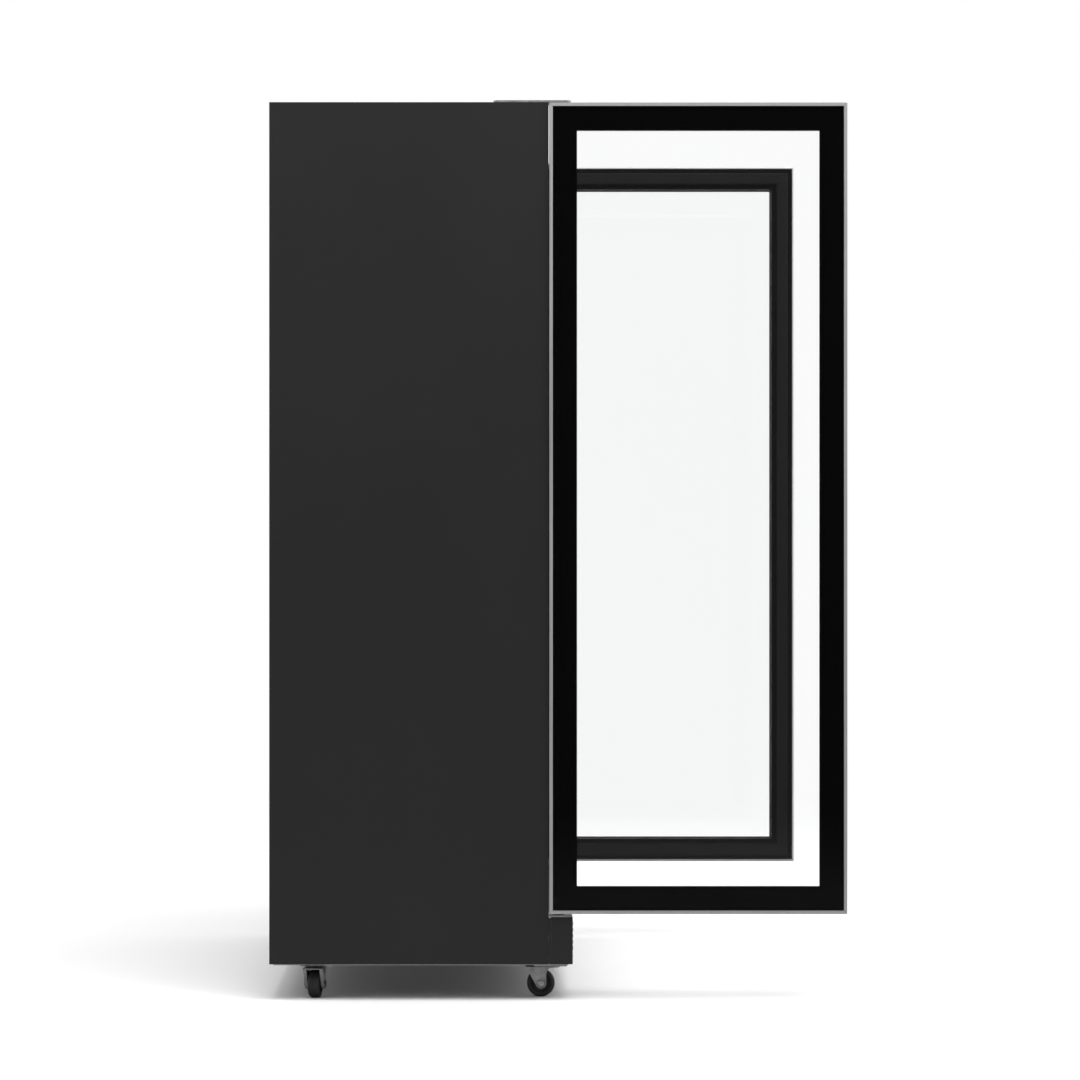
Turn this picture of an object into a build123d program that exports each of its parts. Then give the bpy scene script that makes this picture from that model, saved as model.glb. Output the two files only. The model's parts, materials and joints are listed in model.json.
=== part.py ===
from build123d import *

import math
import os

# Two-door glass merchandiser on casters, stored with both swing doors standing open square to its front.
# Millimetres, +Z up, doors facing -Y. The origin is on the floor, at the middle of the stored outline.

# ---------------------------------------------------------------- driving dimensions
# Cabinet
cabinet_width = 1370
cabinet_depth = 634
cabinet_top = 2040
skin = 1.0  # painted sheet of sides, back and top
wall = 50  # skin face to liner face
roof_wall = 55  # top of the cabinet to the liner
floor_wall = 50  # underside of the foam to the liner
liner = 1.2
rail_below_skins = 8  # how far the caster rails show under the skins
face_frame = 2.0  # sheet ring round the door openings
side_fold = 25  # return along the lower edge of a side panel
mullion_width = 116
mullion_depth = 40
mullion_sheet = 1.5

# Machine compartment at the lower back
bay_depth = 270
bay_top = 400
hump_foam = 40
pan_above_rail = 42
sheet_steel = 2.0

# Doors
door_gap = 19  # between the free edges of the closed doors, room for fingers
door_thickness = 42
seal_gap = 13  # back of a closed door to the cabinet front
door_bottom = 198
door_below_top = 2
door_below_foam = 2
pivot_from_edge = 22
pivot_from_back = 11
frame_wall = 2.5
frame_bar = 30  # width of the hollow bar of the door frame
lip_width = 7.5  # bright rim round the outer pane
lip_depth = 5
back_lip = 5
corner_radius = 3
border_width = 62.5  # edge of the door to the clear glass
pane = 4
frit = 0.5
spacer_width = 12
sight_step = 2.5  # black border past the inner frame, all round the clear glass
pane_past_spacer = 2
inner_plate = 4
glass_rest = 8  # part of the inner frame behind the inner pane
gasket_inset = 17.5
gasket_width = 29
gasket_squeeze = 0.8  # clearance left in front of the cabinet
gasket_base = 2.5
gasket_neck = 3.5
neck_width = 16
dart = 3.4
dart_depth = 3
dart_shift = 0.1
grip_depth = 13
grip_width = 20
grip_from_back = 8
grip_end = 60
grip_wall = 4

# Hinges
pin_radius = 5
running_fit = 0.05
bushing_wall = 1.45
bushing_cover = 1.5  # corner block round the bushing
bushing_length = 20
flange_rim = 3.5
face_clearance = 0.3  # between faces that turn past each other
top_plate = 4.5
top_plate_width = 60
top_plate_past_pivot = 27
top_plate_corner = 6
top_bolts_behind = (22, 61, 100)
top_plate_past_bolts = 24.7
bracket_gap = 4  # bracket to the lower edge of the door
bracket_plate = 4
bracket_past_pivot = 28
bracket_width = 60
bracket_leg = 3
bracket_leg_side = 4
leg_bolts_below = (20, 34)
leg_bolt_spread = 15
leg_past_bolts = 8
bolt_radius = 4
bolt_head_radius = 7
leg_bolt_head = 5
bolt_head = 3
bolt_clearance = 0.2
bolt_length = 16
leg_bolt_length = 12

# Casters
wheel_radius = 31.75
wheel_width = 27
tread_depth = 11
tread_corner = 6
wheel_dish = 4.5
hub_proud = 1.2
hub_wall = 6
axle_radius = 4
axle_fit = 0.1
axle_nut = 7.3
hexagon_over_thread = 5
trail = 22
caster_plate = (64, 76, 3)
caster_plate_corner = 5
wheel_side_gap = 0.5
wheel_top_gap = 6.5
fork_sheet = 2.5
fork_flange = 7.5
fork_flange_sheet = 2
fork_shoulder = 20
fork_boss = 12
fork_toe = -4
fork_heel = 57
kingpin_radius = 6
kingpin_rim = 3
kingpin_rivet = 1.8
race_radius = 22
race_height = 2
front_caster_behind = -6
rear_caster_ahead = 105
rear_caster_turn = 8
plate_screw_radius = 3
plate_screw_head = 6
plate_screw_inset = 8
plate_screw_length = 12
plate_nut = 5
screw_fit = 0.3

# Base frame, plinth cover and rear grille
rail_from_side = 86  # centre of a rail, and of its casters, from the cabinet's side
rail_width = 70
nose_height = 40
nose_past_plate = 2
beam_above_rail = 45
deck_from_back = 6
plinth_ahead = 55
plinth_gap = 4
plinth_sheet = 1.5
plinth_slot = (180, 6)
plinth_slot_pitch = (210, 14)
cover_screw_radius = 2
cover_screw_head = 4
cover_screw_fit = 0.1
plinth_screw_length = 10
plinth_screw_inset = (45, 14)
grille_from_side = 85
grille_margin = (8, 15)  # over the deck, and under the foam
grille_recess = 4
grille_rim = 12
grille_gap = 1
grille_slot = (120, 8)
grille_slot_pitch = (150, 18)
grille_screw_inset = (10, 7)
gland_from_grille_end = 80
gland_patch = 56  # plain sheet round the gland
gland_radius = 8
gland_bore = 4.25
gland_length = 14
gland_flange = 2
gland_rim = 4

# Shelving
first_shelf = 225  # over the cabinet floor
shelf_rise = 325
shelf_thickness = 5
shelf_bar = 6
shelf_wire = 4
shelf_pitch = 28
shelf_clearance = 6
shelf_side_gap = 3
shelf_from_centre = 8
standard_width = 16
standard_depth = 8
standard_sheet = 1.5
standard_end = 60
standard_foot = 10  # over the step of the floor
standard_from_corner = 90
standard_from_shelf = 4
slot_pitch = 25
slot_width = 4
slot_height = 12
clip_width = 10
clip_sheet = 2
clip_arm = 20
clip_drop = 12
clip_play = (1, 4)  # hook in its slot, across and up
light_bar = (16, 22)
centre_light_depth = 12
light_from_front = 12
light_from_mullion_edge = 12
light_end = (50, 20)  # from the floor, and from the evaporator cover

# Cooling
cover_from_side = 115
cover_depth = 330
cover_height = 170
cover_sheet = 1.5
cover_slot = (200, 7)
cover_slot_pitch = (240, 16)
cover_slots_from_back = 70
fan_from_cover_end = 260
fan_radius = 64
fan_tip_gap = 7
fan_from_cover = 22
fan_hub = (16, 14)
fan_chord = 34
guard_pitch = 17
guard_wire = 2
guard_cross = 3
motor_radius = 36
motor_from_cover = (45, 95)
motor_hanger = (20, 3)
shaft_start = 12
wire_hole = 24
fin_pitch = 12
fin = 1.2
shaft_radius = 3
coil_from_cover_end = 70
coil_depth = 120
coil_from_back = 20
coil_from_cover = (25, 15)
coil_tube = 5
coil_tube_rows = (30, 75, 120)
coil_tube_columns = (30, 90)
tube_end = 20
condenser_depth = 60
condenser_x = -90
condenser_foot = 6
condenser_tube_inset = 30
condenser_tube_end = 16
condenser_fan_radius = 96
condenser_tip_gap = 4
shroud_rim = 10
shroud_depth = 40
condenser_hub = (22, 18)
condenser_chord = 48
strut = (3, 6)
strut_from_shroud = 11
strut_spread = 33
condenser_motor_radius = 32
condenser_motor = (10, 60)  # from the shroud to its two ends
compressor_x = 350
compressor_radius = 85
shell_height = 200
shell_wall = 5
shell_corner = 55
foot_plate = (220, 150, 4)
foot_spread = (190, 120)
foot_height = 18
foot_radius = 13
terminal_box = (70, 50, 60)
terminal_height = 110
tray_x = (-560, -330)
tray_width = 190
tray_height = 43
tray_wall = 3
tube_radius = 4
tube_bend = (20, 30)
discharge_reach = 115
suction_reach = 85
discharge_height = 120
discharge_from_axis = 50
suction_height = 90
liquid_line_height = 60
drier = (11, 80)
drier_reach = 120
drier_from_axis = 70
drier_rise = 70

# Control box
control_depth = 28
control_width = 120
control_height = 70
control_sheet = 2
control_boss = 9
knob_x = -28
knob_skirt = (17, 5)
knob_grip = (13, 11)
knob_gap = 0.5
knob_shaft = 12
knob_mark = (3, 1.5, 12)
switch_x = 28
rocker_pivot_depth = 3
rocker_half = 10
rocker_width = 13
rocker_back = 2
rocker_rise = 5
rocker_waist = 3.4
rocker_tilt = 8
rocker_gap = (0.5, 1)
pocket_depth = 7.5

# ---------------------------------------------------------------- places that follow from them
fork_top = 2 * wheel_radius + wheel_top_gap
caster_height = fork_top + race_height + caster_plate[2]
cabinet_bottom = caster_height + rail_below_skins
pan_height = caster_height + pan_above_rail
deck_top = pan_height + sheet_steel
half_width = cabinet_width / 2
skin_half = half_width - skin
foam_bottom = door_bottom + door_below_foam
interior_floor = foam_bottom + floor_wall
interior_top = cabinet_top - roof_wall
door_top = cabinet_top - door_below_top
door_width = (cabinet_width - door_gap) / 2
door_height = door_top - door_bottom
pivot_x = half_width - pivot_from_edge
pivot_ahead = seal_gap + pivot_from_back
open_reach = pivot_ahead + door_width - pivot_from_edge
front_y = (open_reach - cabinet_depth) / 2  # centres the stored outline on the origin
back_y = front_y + cabinet_depth
pivot_y = front_y - pivot_ahead
hinge_edge_y = pivot_y + pivot_from_edge
free_edge_y = hinge_edge_y - door_width
door_face_x = pivot_x + door_thickness - pivot_from_back
inner_half = half_width - wall
inner_back = back_y - wall
bay_front = back_y - bay_depth
step_y = bay_front - hump_foam
step_z = bay_top + hump_foam
mullion_back = front_y + mullion_depth
mullion_half = mullion_width / 2
cover_half = inner_half - cover_from_side
cover_bottom = interior_top - cover_height
cover_front = inner_back - cover_depth
fan_height = (cover_bottom + interior_top) / 2
fan_places = [(side * (cover_half - fan_from_cover_end), fan_height) for side in (-1, 1)]
rail_x = half_width - rail_from_side
compressor_y = back_y - bay_depth / 2
bushing_radius = pin_radius + running_fit + bushing_wall
bushing_flange = bushing_radius + flange_rim
bracket_top = door_bottom - bracket_gap
bracket_x = half_width - bracket_width / 2
top_plate_ahead = pivot_ahead + top_plate_past_pivot
top_plate_behind = top_bolts_behind[-1] + top_plate_past_bolts
fork_gap = wheel_width + 2 * (hub_proud + wheel_side_gap)

# Left door at rest: drawn on its outer face, local x towards the free edge, local y up.
door_face = Plane(
    origin=(-door_face_x, (hinge_edge_y + free_edge_y) / 2, (door_bottom + door_top) / 2),
    x_dir=(0, -1, 0),
    z_dir=(-1, 0, 0),
)

os.makedirs("parts", exist_ok=True)


# ---------------------------------------------------------------- helpers
def save(piece, label):
    """Label a finished piece and write it."""
    piece.part.label = label
    export_step(piece.part, f"parts/{label}.step")


def block(x, y, z, mode=Mode.ADD):
    """A box between a low and a high value along each axis."""
    with Locations((sum(x) / 2, sum(y) / 2, sum(z) / 2)):
        Box(x[1] - x[0], y[1] - y[0], z[1] - z[0], mode=mode)


def rod(start, direction, radius, length, mode=Mode.ADD):
    """A cylinder from a point along a direction."""
    with BuildSketch(Plane(origin=start, z_dir=direction)) as section:
        Circle(radius)
    extrude(section.sketch, amount=length, mode=mode)


def hexagon(start, direction, across_flats, length):
    """A hexagonal bolt head or nut from a point along a direction."""
    with BuildSketch(Plane(origin=start, z_dir=direction)) as section:
        RegularPolygon(across_flats / 2, 6, major_radius=False)
    extrude(section.sketch, amount=length)


def door_ring(outer, inner, start, end, mode=Mode.ADD):
    """A ring on the door between two insets from its edge, and two depths behind its outer face."""
    with BuildSketch(door_face.offset(-start)) as outline:
        Rectangle(door_width - 2 * outer, door_height - 2 * outer)
        Rectangle(door_width - 2 * inner, door_height - 2 * inner, mode=Mode.SUBTRACT)
    extrude(outline.sketch, amount=start - end, mode=mode)


def door_sheet(inset, start, end, mode=Mode.ADD):
    """A full rectangle on the door, inset from its edge, between two depths behind its outer face."""
    with BuildSketch(door_face.offset(-start)) as outline:
        Rectangle(door_width - 2 * inset, door_height - 2 * inset)
    extrude(outline.sketch, amount=start - end, mode=mode)


def both_sides(x):
    """The same distance to the left and to the right of the middle."""
    return (-x, x)


# ---------------------------------------------------------------- skins, foam and liner
with BuildPart() as left_side_panel:
    block((-half_width, skin - half_width), (front_y, back_y), (cabinet_bottom, cabinet_top))
    fold_z = (cabinet_bottom, cabinet_bottom + skin)
    block((-half_width, side_fold - half_width), (front_y, back_y - skin), fold_z)
save(left_side_panel, "left_side_panel")

with BuildPart() as right_side_panel:
    mirror(left_side_panel.part, about=Plane.YZ)
save(right_side_panel, "right_side_panel")

grille_x = half_width - grille_from_side
grille_z = (pan_height + grille_margin[0], bay_top - grille_margin[1])
with BuildPart() as back_panel:
    with BuildSketch(Plane.XZ.offset(-back_y)):
        with Locations((0, (cabinet_bottom + cabinet_top) / 2)):
            Rectangle(2 * skin_half, cabinet_top - cabinet_bottom)
        with Locations((0, sum(grille_z) / 2)):
            Rectangle(2 * grille_x, grille_z[1] - grille_z[0], mode=Mode.SUBTRACT)
    extrude(amount=skin)
    with BuildSketch(Plane.XZ.offset(-back_y)):
        with Locations((0, sum(grille_z) / 2)):
            Rectangle(2 * (grille_x + skin), grille_z[1] - grille_z[0] + 2 * skin)
            Rectangle(2 * grille_x, grille_z[1] - grille_z[0], mode=Mode.SUBTRACT)
    extrude(amount=grille_recess)
    with BuildSketch(Plane.XZ.offset(grille_recess - back_y)):
        with Locations((0, sum(grille_z) / 2)):
            Rectangle(2 * (grille_x + skin), grille_z[1] - grille_z[0] + 2 * skin)
            Rectangle(
                2 * (grille_x - grille_rim), grille_z[1] - grille_z[0] - 2 * grille_rim, mode=Mode.SUBTRACT
            )
    extrude(amount=skin)
save(back_panel, "back_panel")

top_hinge_x = half_width - top_plate_width / 2
top_bolt_places = [(side * top_hinge_x, front_y + behind) for side in (-1, 1) for behind in top_bolts_behind]
bolt_hole = bolt_radius + bolt_clearance
with BuildPart() as top_panel:
    block(both_sides(skin_half), (front_y, back_y - skin), (cabinet_top - skin, cabinet_top))
    for place in top_bolt_places:
        rod((*place, cabinet_top), (0, 0, -1), bolt_hole, skin, mode=Mode.SUBTRACT)
save(top_panel, "top_panel")

foam_front = front_y + face_frame
foam_top = cabinet_top - skin
foam_back = back_y - skin


def cavity_outline(grow):
    """The side view of the cold space, grown all round its closed sides."""
    with BuildSketch(Plane.YZ.offset(-inner_half - grow)) as outline:
        with BuildLine():
            Polyline(
                (foam_front, interior_floor - grow),
                (foam_front, interior_top + grow),
                (inner_back + grow, interior_top + grow),
                (inner_back + grow, step_z - grow),
                (step_y + grow, step_z - grow),
                (step_y + grow, interior_floor - grow),
                close=True,
            )
        make_face()
    return outline.sketch


with BuildPart() as foam_insulation:
    with BuildSketch(Plane.YZ.offset(-skin_half)):
        with BuildLine():
            Polyline(
                (foam_front, foam_bottom),
                (foam_front, foam_top),
                (foam_back, foam_top),
                (foam_back, bay_top),
                (bay_front, bay_top),
                (bay_front, foam_bottom),
                close=True,
            )
        make_face()
    extrude(amount=2 * skin_half)
    extrude(cavity_outline(liner), amount=2 * (inner_half + liner), mode=Mode.SUBTRACT)
    for place in top_bolt_places:
        rod((*place, foam_top), (0, 0, -1), bolt_hole, bolt_length + bolt_radius, mode=Mode.SUBTRACT)
save(foam_insulation, "foam_insulation")

with BuildPart() as inner_liner:
    extrude(cavity_outline(liner), amount=2 * (inner_half + liner))
    extrude(cavity_outline(0), amount=2 * inner_half, mode=Mode.SUBTRACT)
save(inner_liner, "inner_liner")

with BuildPart() as front_frame:
    with BuildSketch(Plane.XZ.offset(-front_y)):
        with Locations((0, (foam_bottom + foam_top) / 2)):
            Rectangle(2 * skin_half, foam_top - foam_bottom)
        with Locations((0, (interior_floor + interior_top) / 2)):
            Rectangle(2 * inner_half, interior_top - interior_floor, mode=Mode.SUBTRACT)
    extrude(amount=-face_frame)
save(front_frame, "front_frame")

mullion_inside = (mullion_width - 2 * mullion_sheet, mullion_depth - 2 * mullion_sheet)
with BuildPart() as centre_mullion:
    with BuildSketch(Plane.XY.offset(interior_floor)):
        with Locations((0, (front_y + mullion_back) / 2)):
            Rectangle(mullion_width, mullion_depth)
            Rectangle(mullion_inside[0], mullion_inside[1], mode=Mode.SUBTRACT)
    extrude(amount=interior_top - interior_floor)
save(centre_mullion, "centre_mullion")

# ---------------------------------------------------------------- base frame, plinth and rear grille
caster_y = {"front": front_y + front_caster_behind, "rear": back_y - rear_caster_ahead}
beam_bottom = caster_height + beam_above_rail
plinth_top = bracket_top - bracket_plate
leg_bolt_places = [
    (side * bracket_x + shift, plinth_top - below)
    for side in (-1, 1)
    for shift in (-leg_bolt_spread, leg_bolt_spread)
    for below in leg_bolts_below
]
plate_screw_hole = plate_screw_radius + screw_fit
plate_screw_x = caster_plate[0] / 2 - plate_screw_inset
plate_screw_y = caster_plate[1] / 2 - plate_screw_inset
plate_screw_places = [
    (side * rail_x + dx, y + dy)
    for side in (-1, 1)
    for y in caster_y.values()
    for dx in (-plate_screw_x, plate_screw_x)
    for dy in (-plate_screw_y, plate_screw_y)
]
nose_front = caster_y["front"] - caster_plate[1] / 2 - nose_past_plate
deck_back = back_y - deck_from_back
with BuildPart() as base_frame:
    for side in (-1, 1):
        rail = (side * rail_x - rail_width / 2, side * rail_x + rail_width / 2)
        block(rail, (front_y, bay_front), (caster_height, foam_bottom))
        block(rail, (nose_front, front_y), (caster_height, caster_height + nose_height))
        block(rail, (bay_front, deck_back), (caster_height, pan_height))
    block(both_sides(skin_half), (front_y, bay_front), (foam_bottom - sheet_steel, foam_bottom))
    block(both_sides(skin_half), (front_y, front_y + sheet_steel), (beam_bottom, foam_bottom))
    block(both_sides(skin_half), (bay_front - sheet_steel, deck_back), (pan_height, deck_top))
    block(both_sides(skin_half), (bay_front - sheet_steel, bay_front), (pan_height, foam_bottom))
    for side in (-1, 1):
        hollow = (
            side * rail_x - rail_width / 2 + sheet_steel,
            side * rail_x + rail_width / 2 - sheet_steel,
        )
        floor = caster_height + sheet_steel
        nose_roof = caster_height + nose_height - sheet_steel
        block(hollow, (nose_front, deck_back), (floor, nose_roof), mode=Mode.SUBTRACT)
        block(
            hollow,
            (front_y + sheet_steel, bay_front - sheet_steel),
            (floor, foam_bottom - sheet_steel),
            mode=Mode.SUBTRACT,
        )
    for place in plate_screw_places:
        rod((*place, caster_height), (0, 0, 1), plate_screw_hole, sheet_steel, mode=Mode.SUBTRACT)
    for x, z in leg_bolt_places:
        rod((x, front_y, z), (0, 1, 0), bolt_hole, sheet_steel, mode=Mode.SUBTRACT)
save(base_frame, "base_frame")

plinth_front = front_y - plinth_ahead
plinth_height = plinth_top - cabinet_bottom
plinth_columns = int((2 * skin_half - 2 * plinth_slot_pitch[1]) / plinth_slot_pitch[0])
plinth_rows = int((plinth_height - 2 * plinth_slot_pitch[1]) / plinth_slot_pitch[1])
plinth_screw_x = half_width - plinth_screw_inset[0]
plinth_screws = [
    (side * plinth_screw_x, z)
    for side in (-1, 1)
    for z in (cabinet_bottom + plinth_screw_inset[1], plinth_top - plinth_screw_inset[1])
]
cover_screw_hole = cover_screw_radius + cover_screw_fit
with BuildPart() as kick_grille:
    block(both_sides(skin_half), (plinth_front, front_y - plinth_gap), (cabinet_bottom, plinth_top))
    block(
        both_sides(skin_half - plinth_sheet),
        (plinth_front + plinth_sheet, front_y - plinth_gap),
        (cabinet_bottom, plinth_top - plinth_sheet),
        mode=Mode.SUBTRACT,
    )
    with BuildSketch(Plane.XZ.offset(-plinth_front - plinth_sheet)):
        with Locations((0, cabinet_bottom + plinth_height / 2)):
            with GridLocations(*plinth_slot_pitch, plinth_columns, plinth_rows):
                SlotOverall(*plinth_slot)
    extrude(amount=plinth_sheet, mode=Mode.SUBTRACT)
    for x, z in plinth_screws:
        rod((x, plinth_front, z), (0, 1, 0), cover_screw_hole, plinth_sheet, mode=Mode.SUBTRACT)
save(kick_grille, "kick_grille")

grille_back = back_y - grille_recess + skin
grille_columns = int((2 * grille_x - grille_slot_pitch[0] / 2) / grille_slot_pitch[0])
grille_rows = int((grille_z[1] - grille_z[0] - 2 * grille_slot_pitch[1]) / grille_slot_pitch[1]) - 1
grille_screw_x = grille_x - grille_screw_inset[0]
grille_screws = [
    (x, z)
    for x in (-grille_screw_x, 0, grille_screw_x)
    for z in (grille_z[0] + grille_screw_inset[1], grille_z[1] - grille_screw_inset[1])
]
gland_place = (gland_from_grille_end - grille_x, sum(grille_z) / 2)
with BuildPart() as rear_service_grille:
    with BuildSketch(Plane.XZ.offset(-grille_back)):
        with Locations((0, sum(grille_z) / 2)):
            Rectangle(2 * (grille_x - grille_gap), grille_z[1] - grille_z[0] - 2 * grille_gap)
            with GridLocations(*grille_slot_pitch, grille_columns, grille_rows):
                SlotOverall(*grille_slot, mode=Mode.SUBTRACT)
        with Locations(gland_place):
            Rectangle(gland_patch, gland_patch)
            Circle(gland_radius, mode=Mode.SUBTRACT)
    extrude(amount=skin)
    for x, z in grille_screws:
        rod((x, grille_back, z), (0, -1, 0), cover_screw_hole, skin, mode=Mode.SUBTRACT)
save(rear_service_grille, "rear_service_grille")

with BuildPart() as power_cord_gland:
    rod((gland_place[0], grille_back, gland_place[1]), (0, 1, 0), gland_radius + gland_rim, gland_flange)
    rod((gland_place[0], grille_back, gland_place[1]), (0, -1, 0), gland_radius, gland_length - gland_flange)
    rod(
        (gland_place[0], grille_back + gland_flange, gland_place[1]),
        (0, -1, 0),
        gland_bore,
        gland_length,
        mode=Mode.SUBTRACT,
    )
save(power_cord_gland, "power_cord_gland")

# ---------------------------------------------------------------- hinges and their bolts
with BuildPart() as top_hinges:
    for side in (-1, 1):
        with BuildSketch(Plane.XY.offset(cabinet_top)) as plate:
            with Locations((side * top_hinge_x, front_y + (top_plate_behind - top_plate_ahead) / 2)):
                RectangleRounded(top_plate_width, top_plate_behind + top_plate_ahead, top_plate_corner)
        extrude(plate.sketch, amount=top_plate)
        rod((side * pivot_x, pivot_y, cabinet_top), (0, 0, -1), pin_radius, door_below_top + bushing_length)
    for place in top_bolt_places:
        rod((*place, cabinet_top), (0, 0, 1), bolt_hole, top_plate, mode=Mode.SUBTRACT)
save(top_hinges, "top_hinges")

bracket_ahead = pivot_ahead + bracket_past_pivot
leg_half = bracket_width / 2 - bracket_leg_side
leg_bottom = plinth_top - leg_bolts_below[-1] - leg_past_bolts
with BuildPart() as bottom_hinges:
    for side in (-1, 1):
        with BuildSketch(Plane.XY.offset(bracket_top)) as plate:
            with Locations((side * bracket_x, front_y - bracket_ahead / 2)):
                Rectangle(bracket_width, bracket_ahead)
        extrude(plate.sketch, amount=-bracket_plate)
        leg = (side * bracket_x - leg_half, side * bracket_x + leg_half)
        block(leg, (front_y - bracket_leg, front_y), (leg_bottom, plinth_top))
        rod((side * pivot_x, pivot_y, bracket_top), (0, 0, 1), pin_radius, bracket_gap + bushing_length)
    for x, z in leg_bolt_places:
        rod((x, front_y, z), (0, -1, 0), bolt_hole, bracket_leg, mode=Mode.SUBTRACT)
save(bottom_hinges, "bottom_hinges")

with BuildPart() as frame_bolts:
    for place in top_bolt_places:
        rod((*place, cabinet_top + top_plate), (0, 0, 1), bolt_head_radius, bolt_head)
        rod((*place, cabinet_top + top_plate), (0, 0, -1), bolt_radius, top_plate + bolt_length)
    for x, z in leg_bolt_places:
        rod((x, front_y - bracket_leg, z), (0, -1, 0), leg_bolt_head, bolt_head)
        rod((x, front_y - bracket_leg, z), (0, 1, 0), bolt_radius, bracket_leg + leg_bolt_length)
    for place in plate_screw_places:
        with BuildSketch(Plane.XY.offset(caster_height - caster_plate[2])) as countersink:
            with Locations(place):
                Circle(plate_screw_head)
        extrude(countersink.sketch, amount=caster_plate[2], taper=45)
        screw_start = (*place, caster_height - caster_plate[2])
        rod(screw_start, (0, 0, 1), plate_screw_radius, caster_plate[2] + plate_screw_length)
        nut = 2 * plate_screw_radius + hexagon_over_thread - 1
        hexagon((*place, caster_height + sheet_steel), (0, 0, 1), nut, plate_nut)
save(frame_bolts, "frame_bolts")

with BuildPart() as cover_screws:
    for x, z in plinth_screws:
        rod((x, plinth_front, z), (0, -1, 0), cover_screw_head, cover_screw_radius)
        rod((x, plinth_front, z), (0, 1, 0), cover_screw_radius, plinth_screw_length)
    for x, z in grille_screws:
        rod((x, grille_back, z), (0, 1, 0), cover_screw_head, cover_screw_radius)
        rod((x, grille_back, z), (0, -1, 0), cover_screw_radius, skin)
save(cover_screws, "cover_screws")


# ---------------------------------------------------------------- casters
def fork_outline(side_view):
    """One cheek of a caster fork, seen from its side: wide at the top and rounded under the axle."""
    reach = math.hypot(fork_heel - trail, fork_top - wheel_radius)
    heel_angle = math.atan2(fork_top - wheel_radius, fork_heel - trail) - math.acos(fork_boss / reach)
    low_angle = (heel_angle - math.pi) / 2

    def on_boss(angle):
        return (trail + fork_boss * math.cos(angle), wheel_radius + fork_boss * math.sin(angle))

    with BuildSketch(side_view) as cheek:
        with BuildLine():
            straight = Line(on_boss(math.pi), (trail - fork_boss, fork_top - fork_shoulder))
            TangentArc(straight @ 1, (fork_toe, fork_top), tangent=(0, 1))
            Line((fork_toe, fork_top), (fork_heel, fork_top))
            Line((fork_heel, fork_top), on_boss(heel_angle))
            ThreePointArc(on_boss(heel_angle), on_boss(low_angle), on_boss(math.pi))
        make_face()
    return cheek.sketch


cheek_face = fork_gap / 2 + fork_sheet
axle_length = 2 * (cheek_face + axle_nut)


def make_fork(place, heading):
    """A pressed steel fork, its cheeks turned out along their edges, under a flat top round the kingpin."""
    along = Vector(1, 0, 0).rotate(Axis.Z, heading)
    across = along.cross(Vector(0, 0, 1))
    side_view = Plane(origin=place, x_dir=along, z_dir=across)
    with BuildPart() as fork:
        for side in (-1, 1):
            extrude(fork_outline(side_view.offset(side * fork_gap / 2)), amount=side * fork_flange)
            with BuildSketch(side_view.offset(side * cheek_face)) as dish:
                flange_inside = offset(fork_outline(side_view), amount=-fork_flange_sheet, mode=Mode.PRIVATE)
                add(side_view.to_local_coords(flange_inside))
            extrude(dish.sketch, amount=side * fork_flange, mode=Mode.SUBTRACT)
        top_view = Plane(origin=place, x_dir=along, z_dir=(0, 0, 1)).offset(fork_top - fork_sheet)
        with BuildSketch(top_view) as crown:
            with Locations(((fork_toe + fork_heel) / 2, 0)):
                Rectangle(fork_heel - fork_toe, fork_gap + 2 * fork_flange)
            Circle(race_radius)
            Circle(kingpin_radius + running_fit, mode=Mode.SUBTRACT)
        extrude(crown.sketch, amount=fork_sheet)
        axle_start = Vector(*place) + along * trail + Vector(0, 0, wheel_radius) - across * axle_length / 2
        rod(axle_start, across, axle_radius + axle_fit, axle_length, mode=Mode.SUBTRACT)
    return fork


def make_wheel(place, heading):
    """A moulded wheel with rounded shoulders and a dished side, bored for its axle."""
    along = Vector(1, 0, 0).rotate(Axis.Z, heading)
    across = along.cross(Vector(0, 0, 1))
    centre = Vector(*place) + along * trail + Vector(0, 0, wheel_radius)
    hub_width = wheel_width + 2 * hub_proud
    tread_inside = 2 * (wheel_radius - tread_depth)
    with BuildPart() as wheel:
        with BuildSketch(Plane(origin=centre, x_dir=across, z_dir=along)) as section:
            with Locations((0, 0)):
                Rectangle(hub_width, 2 * (axle_radius + hub_wall))
                Rectangle(wheel_width - 2 * wheel_dish, tread_inside + wheel_dish)
                with BuildSketch(mode=Mode.PRIVATE) as tread:
                    RectangleRounded(wheel_width, 2 * wheel_radius, tread_corner)
                    Rectangle(wheel_width, tread_inside, mode=Mode.SUBTRACT)
                add(tread.sketch)
            Rectangle(hub_width, 2 * (axle_radius + running_fit), mode=Mode.SUBTRACT)
            with Locations((0, wheel_radius)):
                Rectangle(hub_width, 2 * wheel_radius, mode=Mode.INTERSECT)
        revolve(section.sketch, axis=Axis(centre, across))
    return wheel


def make_axle(place, heading):
    """A bolt through the fork, with a hexagon outside each cheek."""
    along = Vector(1, 0, 0).rotate(Axis.Z, heading)
    across = along.cross(Vector(0, 0, 1))
    centre = Vector(*place) + along * trail + Vector(0, 0, wheel_radius)
    with BuildPart() as axle:
        rod(centre - across * cheek_face, across, axle_radius, 2 * cheek_face)
        for side in (-1, 1):
            start = centre + across * side * cheek_face
            hexagon(start, across * side, 2 * axle_radius + hexagon_over_thread, axle_nut)
    return axle


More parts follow.
